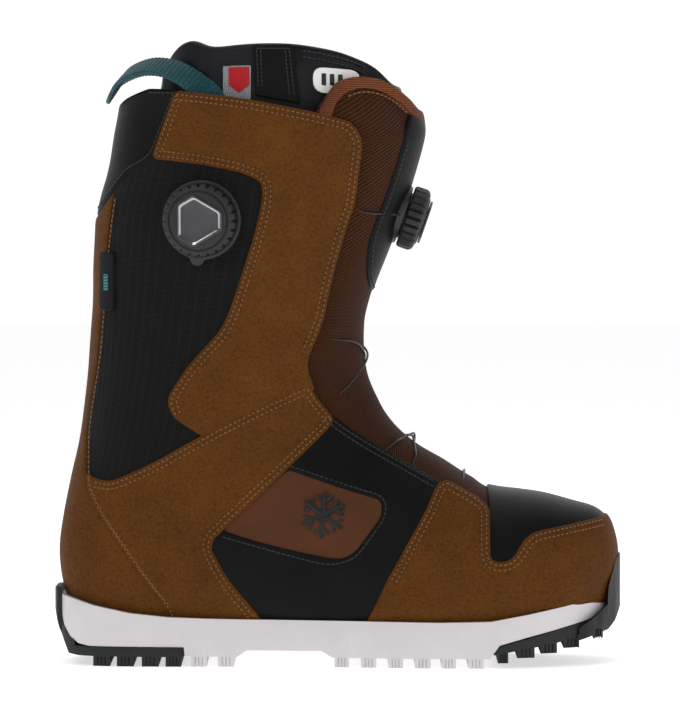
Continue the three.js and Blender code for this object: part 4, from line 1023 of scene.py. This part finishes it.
def buildTab():
    tab = panel("sideTab", tabShape, "blackLeather", 1.9, outer, span=(17, 24), radius=0.8, drop=2.2,
                step=0.9,
                front=(1.6, math.pi))
    dash = panel("tabDash", [(-123.4, 198), (-120.8, 198), (-120.8, 207), (-123.4, 207)], "webbing", 2.0,
                 outer,
                 span=(17, 24), radius=0.3, drop=1.0, step=0.5, front=(1.6, math.pi), edge=0.4)
    onShell(join([tab, dash], "sideTab"), "side_tab")
    print("tab made")


buildEmblem()
buildTab()


# Each dial's place and axes are copied from the CAD, where the surface gives them.
dialKinds = {
    "side_dial": {"knob": 19.5, "base": 21.2, "tail": 3.2, "wall": 14.5, "place": (-72.005, -47.76, 235.969),
                  "x": (0.9885, -0.1515, 0), "z": (-0.15135, -0.98757, -0.04233), "home": "shell",
                  "grip": "side_dial_grip"},
    "tongue_dial": {"knob": 17.0, "base": 15.9, "tail": 0.0, "wall": 12.5, "place": (32.9, 0, 238.5),
                    "x": (0, 1, 0), "z": (0.94499, 0, -0.32711), "home": "tongue",
                    "grip": "tongue_dial_grip"},
}
dial = {"teeth": 24, "tooth": 0.8, "floor": 2.8, "top": 12.8, "cavity": 8.6, "well": 6.6, "flange": 2.0,
        "capTop": 14.4,
        "capFloor": 13.1}


def dialFrame(kind):
    z = Vector(kind["z"]).normalized()
    x = Vector(kind["x"]).normalized()
    y = z.cross(x).normalized()
    turn = Matrix((x, y, z)).transposed().to_4x4()
    return Matrix.Translation(Vector(kind["place"])) @ turn


# A turned part: rings of points stacked from a profile, each ring shaped by a radius rule.
def turned(name, rings, material, frameOfDial, count=240):
    angles = np.linspace(0, 2 * math.pi, count, endpoint=False)
    points = []
    for radius, z in rings:
        r = radius(angles) if callable(radius) else np.full(count, float(radius))
        points.append(np.stack([r * np.cos(angles), r * np.sin(angles), np.full(count, float(z))], -1))
    points = np.concatenate(points)
    last = (len(rings) - 1) * count
    faces = ringFaces(len(rings), count)
    faces += [(last + i, last + (i + 1) % count, (i + 1) % count, i) for i in range(count)]
    world = np.array(frameOfDial)
    placed = points @ world[:3, :3].T + world[:3, 3]
    piece = meshObject(name, placed, faces, material)
    fixNormals(piece)
    piece.data.set_sharp_from_angle(angle=math.radians(38))
    return piece


# A round seat that reaches out in a short tail at the bottom.
def tailed(radius, reach):
    def rule(angles):
        off = (angles + math.pi / 2 + 0.12 + math.pi) % (2 * math.pi) - math.pi
        return radius + reach * np.exp(-(off / 0.16) ** 4)
    return rule


# Tread blocks round the grip: a flat crest, sloping sides and a flat valley.
def toothed(radius, depth, teeth=24, crest=0.34, slope=0.12):
    def rule(angles):
        u = (angles * teeth / (2 * math.pi)) % 1
        off = np.abs(u - 0.5)
        rise = np.clip((crest + slope - off) / slope, 0, 1)
        return radius - depth * (1 - rise * rise * (3 - 2 * rise))
    return rule


def buildDials():
    for word, kind in dialKinds.items():
        place = dialFrame(kind)
        knob, wall = kind["knob"], kind["wall"]
        t, floor, top = dial["tooth"] + 0.5, dial["floor"], dial["top"]
        grip = turned(word + "_gripRing", [
            (wall + 0.9, floor), (toothed(knob - 1.1, t), floor), (toothed(knob - 0.25, t), floor + 0.7),
            (toothed(knob - 0.02, t), floor + 1.8), (toothed(knob - 0.02, t), top - 3.4),
            (toothed(knob - 0.5, t), top - 2.3),
            (toothed(knob - 1.5, t * 0.6), top - 1.3), (knob - 2.8, top - 0.8), (knob - 3.4, top - 0.7),
            (knob - 3.7, top - 1.1), (knob - 4.1, top - 1.1), (knob - 4.5, top - 0.2), (knob - 5.0, top),
            (5.6, top),
            (5.4, top - 0.2), (5.4, dial["cavity"]), (wall + 0.7, dial["cavity"]),
            (wall + 0.9, dial["cavity"] - 0.3)],
            "gripRubber", place)
        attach(grip, kind["grip"])
        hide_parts(word + "_knob")
        buildCap(word, kind, place)
        base, flange, well = kind["base"], dial["flange"], dial["well"]
        low = -1.6
        tail = tailed(base, kind["tail"])
        seat = turned(word + "_seat", [
            (lambda a: tail(a) - 0.4, low - 2.5), (tail, low - 2.2), (tail, flange - 0.9),
            (lambda a: tail(a) - 0.35, flange - 0.2), (lambda a: tail(a) - 1.1, flange), (base - 2.4, flange),
            (base - 2.7, flange - 0.35), (base - 3.1, flange - 0.35), (base - 3.4, flange),
            (wall + 0.3, flange), (wall, flange + 0.3), (wall, well - 0.4), (wall - 0.4, well),
            (wall - 1.8, well),
            (wall - 2.2, well - 0.4), (wall - 2.2, low)], "blackNylon", place)
        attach(seat, kind["home"])
        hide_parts(word + "_base")
    print("dials made")


# A three-sided cap with cut corners: a raised rim round a shallow dish.
def buildCap(word, kind, place):
    reach = kind["knob"] * 0.72
    corners = []
    for i in range(6):
        angle = (i // 2) * 2 * math.pi / 3 + (0.36 if i % 2 else -0.36)
        corners.append((reach * math.cos(angle), reach * math.sin(angle), 1.6))
    outline = rounded(corners, 1.6)
    rows = []
    low, high = dial["capFloor"], dial["capTop"]
    for scale, z in ((0.97, low), (1.0, low + 0.25), (1.0, high - 0.3), (0.985, high - 0.08), (0.965, high),
                     (0.93, high),
                     (0.915, high - 0.08), (0.83, high - 0.75), (0.81, high - 0.8), (0.4, high - 0.72),
                     (0.05, high - 0.7)):
        rows.append(np.concatenate([outline * scale, np.full((len(outline), 1), z)], 1))
    n = len(outline)
    faces = [tuple(range(n - 1, -1, -1))] + ringFaces(len(rows), n)
    faces.append(tuple((len(rows) - 1) * n + i for i in range(n)))
    world = np.array(place)
    placed = np.concatenate(rows) @ world[:3, :3].T + world[:3, 3]
    piece = meshObject(word + "_capPlate", placed, faces, "capPlastic")
    fixNormals(piece)
    piece.data.materials.append(finishes["capBevel"])
    for k, polygon in enumerate(piece.data.polygons):
        if 1 + 6 * n <= k < 1 + 7 * n:
            polygon.material_index = 1
    piece.data.set_sharp_from_angle(angle=math.radians(50))
    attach(piece, kind["grip"])
    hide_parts(word + "_cap")


buildDials()


# The cord's centre line in millimetres, from the tongue dial down to the toe and back up.
# It is copied from the route that the CAD works out.
laceEnd = [(32, -16.1, 238.3), (27.7, -21.4, 238.5), (23.4, -27, 238.8), (18, -33.1, 239.1),
           (13.1, -36.3, 239.8), (5.8, -36.3, 241.6), (0.5, -37.6, 238.8), (-1.8, -37.4, 232.1),
           (-4, -37.1, 225.6), (-6.1, -36.9, 219), (-8.2, -36.6, 212.3), (-10.1, -36.3, 205.6),
           (-11.9, -36, 198.9), (-13.8, -35.7, 192.3), (-15, -35.1, 185.5), (-14.5, -33.8, 178.7),
           (-12.1, -32.2, 173.9), (-4.6, -30.5, 172.7), (1.1, -27.1, 171.9)]
laceMiddle = [(6, -21.9, 171.2), (9.8, -16.3, 169.6), (12.2, -10.4, 167), (13.6, -4.2, 164),
              (13.5, 2, 160.8), (12.3, 7.9, 157.4), (10.1, 13.3, 153.8), (6.9, 18.4, 149.9), (3, 22.4, 146),
              (-1.9, 24.6, 141.6), (-7.9, 26, 136.4), (-11, 28.2, 131.9), (-8.1, 27.4, 126.9),
              (-2.9, 26, 122.5), (2.9, 24.4, 119.1), (9, 22.8, 116.2), (15, 22.3, 112.7),
              (21.3, 21.9, 111.2), (26.9, 20.3, 115.7), (31.2, 15.9, 118.4), (34.4, 9.8, 119.7),
              (37.2, 3.5, 120.5), (39.2, -3.1, 120), (39.9, -9.5, 117.4), (40.3, -15.8, 114.3),
              (40.7, -22.1, 111.2), (39.1, -26.2, 106.2), (37.6, -28.6, 100.2), (41.9, -31.9, 95.8),
              (47.4, -33.5, 92.6), (53.9, -33.2, 90.3), (60.2, -30.2, 89.8), (64.1, -25.9, 91.7),
              (65.4, -20.4, 96.1), (66.3, -14.2, 99.8), (66.8, -7.9, 101.6), (66.9, -1, 102),
              (66.7, 5.9, 101.2), (66.1, 12.4, 98.9), (65.1, 18.2, 94.9), (63.2, 24.6, 89.9), (58.4, 27, 90),
              (52, 29, 90.9), (45.4, 28.7, 93.2), (40.7, 25.9, 97), (37, 22.5, 101.5), (39.9, 20.2, 107.8),
              (40.6, 15.1, 112), (40.1, 8.9, 115.1), (40.4, 2.8, 118.9), (39.9, -3.5, 121.6),
              (37.2, -9.9, 121), (33.8, -15.8, 119.5), (30.5, -21.8, 118.1), (26, -25.6, 114.9),
              (20.1, -26.9, 110.8), (13.9, -26.9, 113.4), (7.8, -27.2, 116.7), (1.6, -28.2, 119.7),
              (-4.1, -28.9, 123.5), (-9.3, -29.5, 128), (-10.1, -28.9, 133.2), (-6.7, -26.8, 137.5),
              (-0.6, -25.2, 142.7), (4, -22.5, 146.9), (7.6, -18.1, 150.8), (10.6, -12.9, 154.6),
              (13.1, -7.5, 158), (14.9, -1.6, 161.3), (15.1, 4.6, 164.4), (13.1, 10.6, 167.3),
              (9.9, 16.4, 169.7), (5.9, 21.9, 171.2)]
laceRoute = np.array(laceEnd + laceMiddle + [(x, -y, z) for x, y, z in laceEnd[::-1]])
lace = {"radius": 0.62}


def tubeAlong(name, points, radius, material, sides=10, fine=6):
    n = len(points)
    line = smoothThrough(points, np.linspace(0, n - 1, (n - 1) * fine + 1))
    tangent = np.gradient(line, axis=0)
    tangent /= np.linalg.norm(tangent, axis=1, keepdims=True)
    up = np.cross(tangent[0], (0.3, 0.2, 0.9))
    up /= np.linalg.norm(up)
    verts, cloth = [], []
    run = np.concatenate([[0], np.cumsum(np.linalg.norm(np.diff(line, axis=0), axis=1))])
    for k in range(len(line)):
        up = up - tangent[k] * up.dot(tangent[k])
        up /= np.linalg.norm(up)
        aside = np.cross(tangent[k], up)
        for m in range(sides):
            turn = 2 * math.pi * m / sides
            verts.append(line[k] + radius * (math.cos(turn) * up + math.sin(turn) * aside))
            cloth.append((run[k], m * 2 * math.pi * radius / sides))
    faces = ringFaces(len(line), sides)
    faces.append(tuple(range(sides - 1, -1, -1)))
    faces.append(tuple((len(line) - 1) * sides + m for m in range(sides)))
    return meshObject(name, np.array(verts), faces, material, cloth)


def buildLace():
    first = int(np.argmax(laceRoute[:, 2] < 200))
    last = len(laceRoute) - 1 - int(np.argmax(laceRoute[::-1, 2] < 200))
    top = join([tubeAlong("strand", laceRoute[:first + 1], lace["radius"], "laceCord"),
                tubeAlong("strand", laceRoute[last:], lace["radius"], "laceCord")], "laceTop")
    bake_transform(top)
    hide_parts("lace")
    low = tubeAlong("laceLower", laceRoute[first:last + 1], lace["radius"], "laceCord")
    onShell(low, "lace")
    print("lace laid")


buildLace()


liner = {"thickness": 5.8, "swell": 0.9}
linerTop = [(-99, 306.5), (-93.5, 317, 4), (-86, 328.5, 5), (-77.5, 331.5, 6), (-69.5, 326.5, 6),
            (-45.5, 329, 20),
            (-24, 329, 20), (0, 325, 20), (12.5, 320.5, 10), (22, 316, 5), (28, 308, 4), (60, 300), (60, 172),
            (-160, 172), (-160, 306.5)]


# A padded wall: its outer face, a rounded rim along the top of the outline, and its inner face.
def paddedWall(name, outline, table, thickness, material, outsideLift=0.0, top=7.0, swell=0.0,
               halfAngle=math.pi, step=2.0,
               seams=()):
    shape = rounded(outline)
    count = int(2 * halfAngle * 46 / step)
    closed = halfAngle > 3.1
    angles = np.linspace(-halfAngle, halfAngle, count + 1)
    if closed:
        angles = angles[:-1]
    stations = np.linspace(0, top, 320)
    columns = []
    for angle in angles:
        line = bootPoint(stations, np.full(320, angle), table)
        value = inside(line[:, [0, 2]], shape)
        ok = np.nonzero(value > 0)[0]
        high = ok[-1] if len(ok) else 1
        low = ok[0] if len(ok) else 0
        if high < 319 and value[high] > 0 >= value[high + 1]:
            share = value[high] / (value[high] - value[high + 1])
        else:
            share = 0.0
        columns.append((stations[low], stations[high] + share * (stations[1] - stations[0])))
    low = np.array([c[0] for c in columns])
    high = np.array([c[1] for c in columns])
    kernel = np.hanning(9)
    kernel /= kernel.sum()
    if closed:
        high = np.convolve(np.concatenate([high[-4:], high, high[:4]]), kernel, "valid")
    else:
        high = np.convolve(np.concatenate([[high[0]] * 4, high, [high[-1]] * 4]), kernel, "valid")
    shares = np.concatenate([np.linspace(0, 0.9, 44), np.linspace(0.915, 1, 12)])
    rimTurns = np.linspace(0, math.pi, 13)[1:-1]
    rings = []

    def ringAt(station, depth, extra):
        station = np.clip(station, 0, top)
        points = bootPoint(station, angles, table)
        normals = bootNormal(station, angles, table)
        normals[:, 2] *= 0.35
        normals /= np.linalg.norm(normals, axis=1, keepdims=True)
        points = points - normals * (np.asarray(depth)[:, None] - outsideLift)
        points[:, 2] += extra
        return points

    def puffOf(points):
        puff = swell * (0.6 * np.sin(points[:, 0] * 0.11 + 1) * np.sin(points[:,
                                                                              2] * 0.17)
                        + 0.4 * np.sin(points[:, 0] * 0.23))
        for seam in seams:
            a, b = np.array(seam[0]), np.array(seam[1])
            run = b - a
            t = (((points[:, [0, 2]] - a) @ run) / run.dot(run)).clip(0, 1)
            off = np.linalg.norm(points[:, [0, 2]] - a - t[:, None] * run, axis=1)
            puff = puff - 0.9 * np.exp(-(off / 1.6) ** 2)
        return puff

    rimRadius = thickness / 2
    for share in shares:
        station = low + (high - low) * share
        base = bootPoint(station, angles, table)
        edge = np.clip((share - 0.9) / 0.1, 0, 1)
        depth = np.full(len(angles), 0.0) - puffOf(base) * (1 - edge)
        rings.append(ringAt(station, depth, 0))
    for turn in rimTurns:
        depth = np.full(len(angles), rimRadius * (1 - math.cos(turn)))
        rings.append(ringAt(high, depth, math.sin(turn) * rimRadius * 0.9))
    for share in shares[::-1]:
        station = low + (high - low) * share
        depth = np.full(len(angles), thickness)
        rings.append(ringAt(station, depth, 0))
    n = len(angles)
    verts = np.concatenate(rings)
    verts[:, 2] -= rimRadius * 0.9 * np.clip((verts[:, 2] - 280) / 10, 0, 1)
    faces = ringFaces(len(rings), n, closed)
    cloth = np.concatenate([np.stack([angles * 45, np.full(n, k * 2.0)], -1) for k in range(len(rings))])
    piece = meshObject(name, verts, faces, material, cloth)
    e = np.cross(verts[faces[0][1]] - verts[faces[0][0]], verts[faces[0][3]] - verts[faces[0][0]])
    out = verts[faces[0][0]] - np.array([-50, 0, verts[faces[0][0]][2]])
    if e.dot(out) < 0:
        piece.data.flip_normals()
    return piece


def buildLiner():
    wall = paddedWall("linerWall", linerTop, linerTable, liner["thickness"], "linerSkin",
                      swell=liner["swell"],
                      seams=[((-70, 326), (-78, 250)), ((12, 322), (6, 250)), ((-18, 330), (-14, 300))])
    onShell(wall, "liner", "liner_tongue")
    lining = paddedWall("shaftLining", [(-119, 297), (-108.5, 300), (-100.5, 303), (-86, 302), (-47, 297.5),
                                        (-10, 290),
                                        (6, 285), (14, 262), (40, 262), (60, 200), (-160, 200), (-160, 296)],
                        stationTable[18:], 2.3, "lining", outsideLift=-2.6, top=10.0)
    onShell(lining, "shell_lining")
    print("liner padded")


buildLiner()


loop = {"width": 15.0, "thickness": 1.6,
        "half": [(-63, -42.6, 289), (-69.5, -41, 302), (-84.5, -39, 313.5), (-100, -31, 317),
                 (-113.5, -18, 312)]}


# Smooth curve through points, evenly sampled.
def smoothLine(points, count):
    line = smoothThrough(points, np.linspace(0, len(points) - 1, 600))
    run = np.concatenate([[0], np.cumsum(np.linalg.norm(np.diff(line, axis=0), axis=1))])
    even = np.linspace(0, run[-1], count)
    return np.stack([np.interp(even, run, line[:, k]) for k in range(3)], -1), even


def buildLoop():
    half = loop["half"]
    line, run = smoothLine(half + [(-119.5, 0, 303.5)] + [(x, -y, z) for x, y, z in half[::-1]], 640)
    tangent = np.gradient(line, axis=0)
    tangent /= np.linalg.norm(tangent, axis=1, keepdims=True)
    out = np.stack([line[:, 0] + 55, line[:, 1], (line[:, 2] - 290) * 3.2], -1)
    aside = np.cross(tangent, out / np.linalg.norm(out, axis=1, keepdims=True))
    aside /= np.linalg.norm(aside, axis=1, keepdims=True)
    face = np.cross(aside, tangent)
    w, t = loop["width"] / 2, loop["thickness"] / 2
    section = [(-w, -t * 0.5), (-w + 0.4, -t), (w - 0.4, -t), (w, -t * 0.5), (w, t * 0.5), (w - 0.4, t),
               (0, t * 1.05),
               (-w + 0.4, t), (-w, t * 0.5)]
    n = len(section)
    rib = 1 + 0.45 * np.abs(np.sin(run * math.pi / 2.3))
    verts = np.concatenate([line[k] + np.array([aside[k] * a + face[k] * b
                                                * (rib[k] if abs(b) > t * 0.9 else 1)
                                                for a, b in section]) for k in range(len(line))])
    cloth = np.concatenate([np.array([(run[k], a) for a, b in section]) for k in range(len(line))])
    faces = ringFaces(len(line), n)
    faces += [tuple(range(n - 1, -1, -1)), tuple((len(line) - 1) * n + i for i in range(n))]
    band = meshObject("pullLoop", verts, faces, "webbing", cloth)
    fixNormals(band)
    band.data.set_sharp_from_angle(angle=math.radians(50))
    onShell(band, "rear_pull_loop")
    print("pull loop made")


def onLiner(name, outline, material, lift, radius=0.6, edge=1.0, step=1.0, drop=1.4):
    return panel(name, outline, material, lift, outer, span=(3, 7), radius=radius, drop=drop, step=step,
                 edge=edge,
                 table=linerTable, front=(0.6, 2.6))


def buildLinerTrim():
    strap = onLiner("strap", [(-45.5, 328.2), (-24, 328.2), (-20.5, 297), (-44, 301)], "blackLeather", 1.5,
                    drop=2.4)
    seams = [((-43.2, 326), (-42.2, 303)), ((-41.2, 326), (-40.2, 303)), ((-28.5, 326), (-26, 300)),
             ((-26.3, 326), (-23.6, 300)), ((-44, 326), (-25, 326))]
    rows = [stitches("row", seam, "blackThread", 1.6, outer, 0, 2.2, 0.36, linerTable) for seam in seams]
    onShell(join([strap] + rows, "linerStrap"), "liner_pull_strap")
    label = onLiner("label", [(-61, 316.8), (-46.3, 317.2), (-46.3, 299), (-61, 300)], "label", 0.9,
                    radius=0.3, edge=0.5)
    mark = onLiner("mark", [(-58, 316.2), (-47, 316.4), (-47, 306.5), (-52.5, 302.4), (-58, 306.5)],
                   "redPatch", 1.15, radius=0.2,
                   edge=0.6, step=0.6)
    onShell(join([label, mark], "linerLabel"), "liner_label")
    pill = onLiner("pill", [(-14, 316.5, 7), (11, 314.5, 6), (11, 301, 6), (-13.5, 303, 7)], "whitePlastic",
                   0.9, radius=0.4,
                   edge=6, step=0.8)
    bars = [onLiner("bar", [(a, 313 - (a + 10) * 0.07), (a + 2.6, 313 - (a + 10) * 0.07), (a + 2.6, 306.3),
                            (a, 306.6)],
                    "emblemRubber", 1.1, radius=0.2, edge=0.4, step=0.6) for a in (-9.5, -5.2, -0.9)]
    onShell(join([pill] + bars, "linerBadge"), "liner_badge")
    rim = []
    for depth in (2.4, 5.6):
        top = [(x, z - depth - 1.6) for x, z in ((-20, 329), (-10, 327.4), (0, 325), (8, 322.5), (15, 319.5))]
        rim += [stitches("row", top, "blackThread", 0.5, side, 0, 2.6, 0.4, linerTable) for side in (outer,
                                                                                                     inner)]
    onShell(join(rim, "linerStitching"))
    print("liner trim made")


buildLoop()
buildLinerTrim()


# What the frame still shows of itself: boards, foam, bands, cables, spools, discs, screws and the footbed.
def dressHidden():
    plain = {"lasting_board": "board", "underfoot_foam": "foam", "ankle_harness": "lining", "footbed": "foam",
             "harness_cable_front": "laceCord", "harness_cable_rear": "laceCord",
             "side_dial_spool": "nylon", "tongue_dial_spool": "nylon", "side_dial_drive_disc": "nylon",
             "tongue_dial_drive_disc": "nylon", "side_dial_screw": "steel", "tongue_dial_screw": "steel"}
    for node, material in plain.items():
        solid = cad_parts[node]
        solid.data.materials.clear()
        solid.data.materials.append(finishes[material])


dressHidden()


studio = {
    "lamps": [("key", (-0.9, -1.5, 1.5), (1.3, 1.0), 10), ("fill", (1.5, -1.2, 0.7), (1.2, 1.2), 5.5),
              ("top", (0.0, 0.1, 1.9), (1.8, 1.4), 9), ("back", (0.3, 1.6, 0.9), (1.6, 1.0), 3)],
    "room": 0.14,
    "elevation": 2.0,
    "distance": 3.2,
    "viewHeight": 0.375921,
    "aim": (0.0005, -0.045, 0.1637),
}


def makeStudio():
    floorMaterial = newMaterial("pale seamless paper",
                                              {"Roughness": 0.9, "Base Color": (0.85, 0.85, 0.85, 1),
                                              "Emission Color": (1, 1, 1, 1), "Emission Strength": 0.6})[0]
    bpy.ops.mesh.primitive_plane_add(size=12)
    floor = bpy.context.object
    floor.name = "floor"
    floor.data.materials.append(floorMaterial)
    for name, place, size, power in studio["lamps"]:
        lamp = bpy.data.lights.new(name, "AREA")
        lamp.shape = "RECTANGLE"
        lamp.size, lamp.size_y = size
        lamp.energy = power
        holder = bpy.data.objects.new(name, lamp)
        bpy.context.scene.collection.objects.link(holder)
        holder.location = place
        holder.rotation_euler = (Vector((0, 0, 0.14)) - Vector(place)).to_track_quat("-Z", "Y").to_euler()
    world = bpy.data.worlds.new("soft room")
    world.use_nodes = True
    tree = world.node_tree
    way = addNode(tree, "ShaderNodeTexCoord").outputs["Generated"]
    ways = addNode(tree, "ShaderNodeSeparateXYZ", None, {"Vector": way})
    behind = addNode(tree, "ShaderNodeMapRange",
                     {"From Min": 0.0, "From Max": 0.75, "To Min": studio["room"], "To Max": 1.05},
                     {"Value": ways.outputs["Y"]}).outputs["Result"]
    level = addNode(tree, "ShaderNodeMath", {"operation": "ABSOLUTE"},
                    {0: ways.outputs["Z"]}).outputs["Value"]
    horizon = addNode(tree, "ShaderNodeMapRange",
                      {"From Min": 0.08, "From Max": 0.16, "To Min": 1.05, "To Max": studio["room"]},
                      {"Value": level}).outputs["Result"]
    bright = addNode(tree, "ShaderNodeMath", {"operation": "MAXIMUM"},
                     {0: behind, 1: horizon}).outputs["Value"]
    tree.links.new(bright, tree.nodes["Background"].inputs["Strength"])
    tree.nodes["Background"].inputs["Color"].default_value = (1, 1, 1, 1)
    bpy.context.scene.world = world
    bpy.context.scene.view_settings.view_transform = "Standard"
    camera = bpy.data.cameras.new("camera")
    camera.sensor_fit = "VERTICAL"
    camera.sensor_height = 36
    reach = studio["distance"]
    camera.lens = camera.sensor_height * reach / studio["viewHeight"]
    camera.clip_end = 50
    holder = bpy.data.objects.new("camera", camera)
    bpy.context.scene.collection.objects.link(holder)
    rise = math.radians(studio["elevation"])
    aim = Vector(studio["aim"])
    holder.location = aim + Vector((0, -reach * math.cos(rise), reach * math.sin(rise)))
    holder.rotation_euler = (aim - holder.location).to_track_quat("-Z", "Y").to_euler()
    bpy.context.scene.camera = holder


makeStudio()
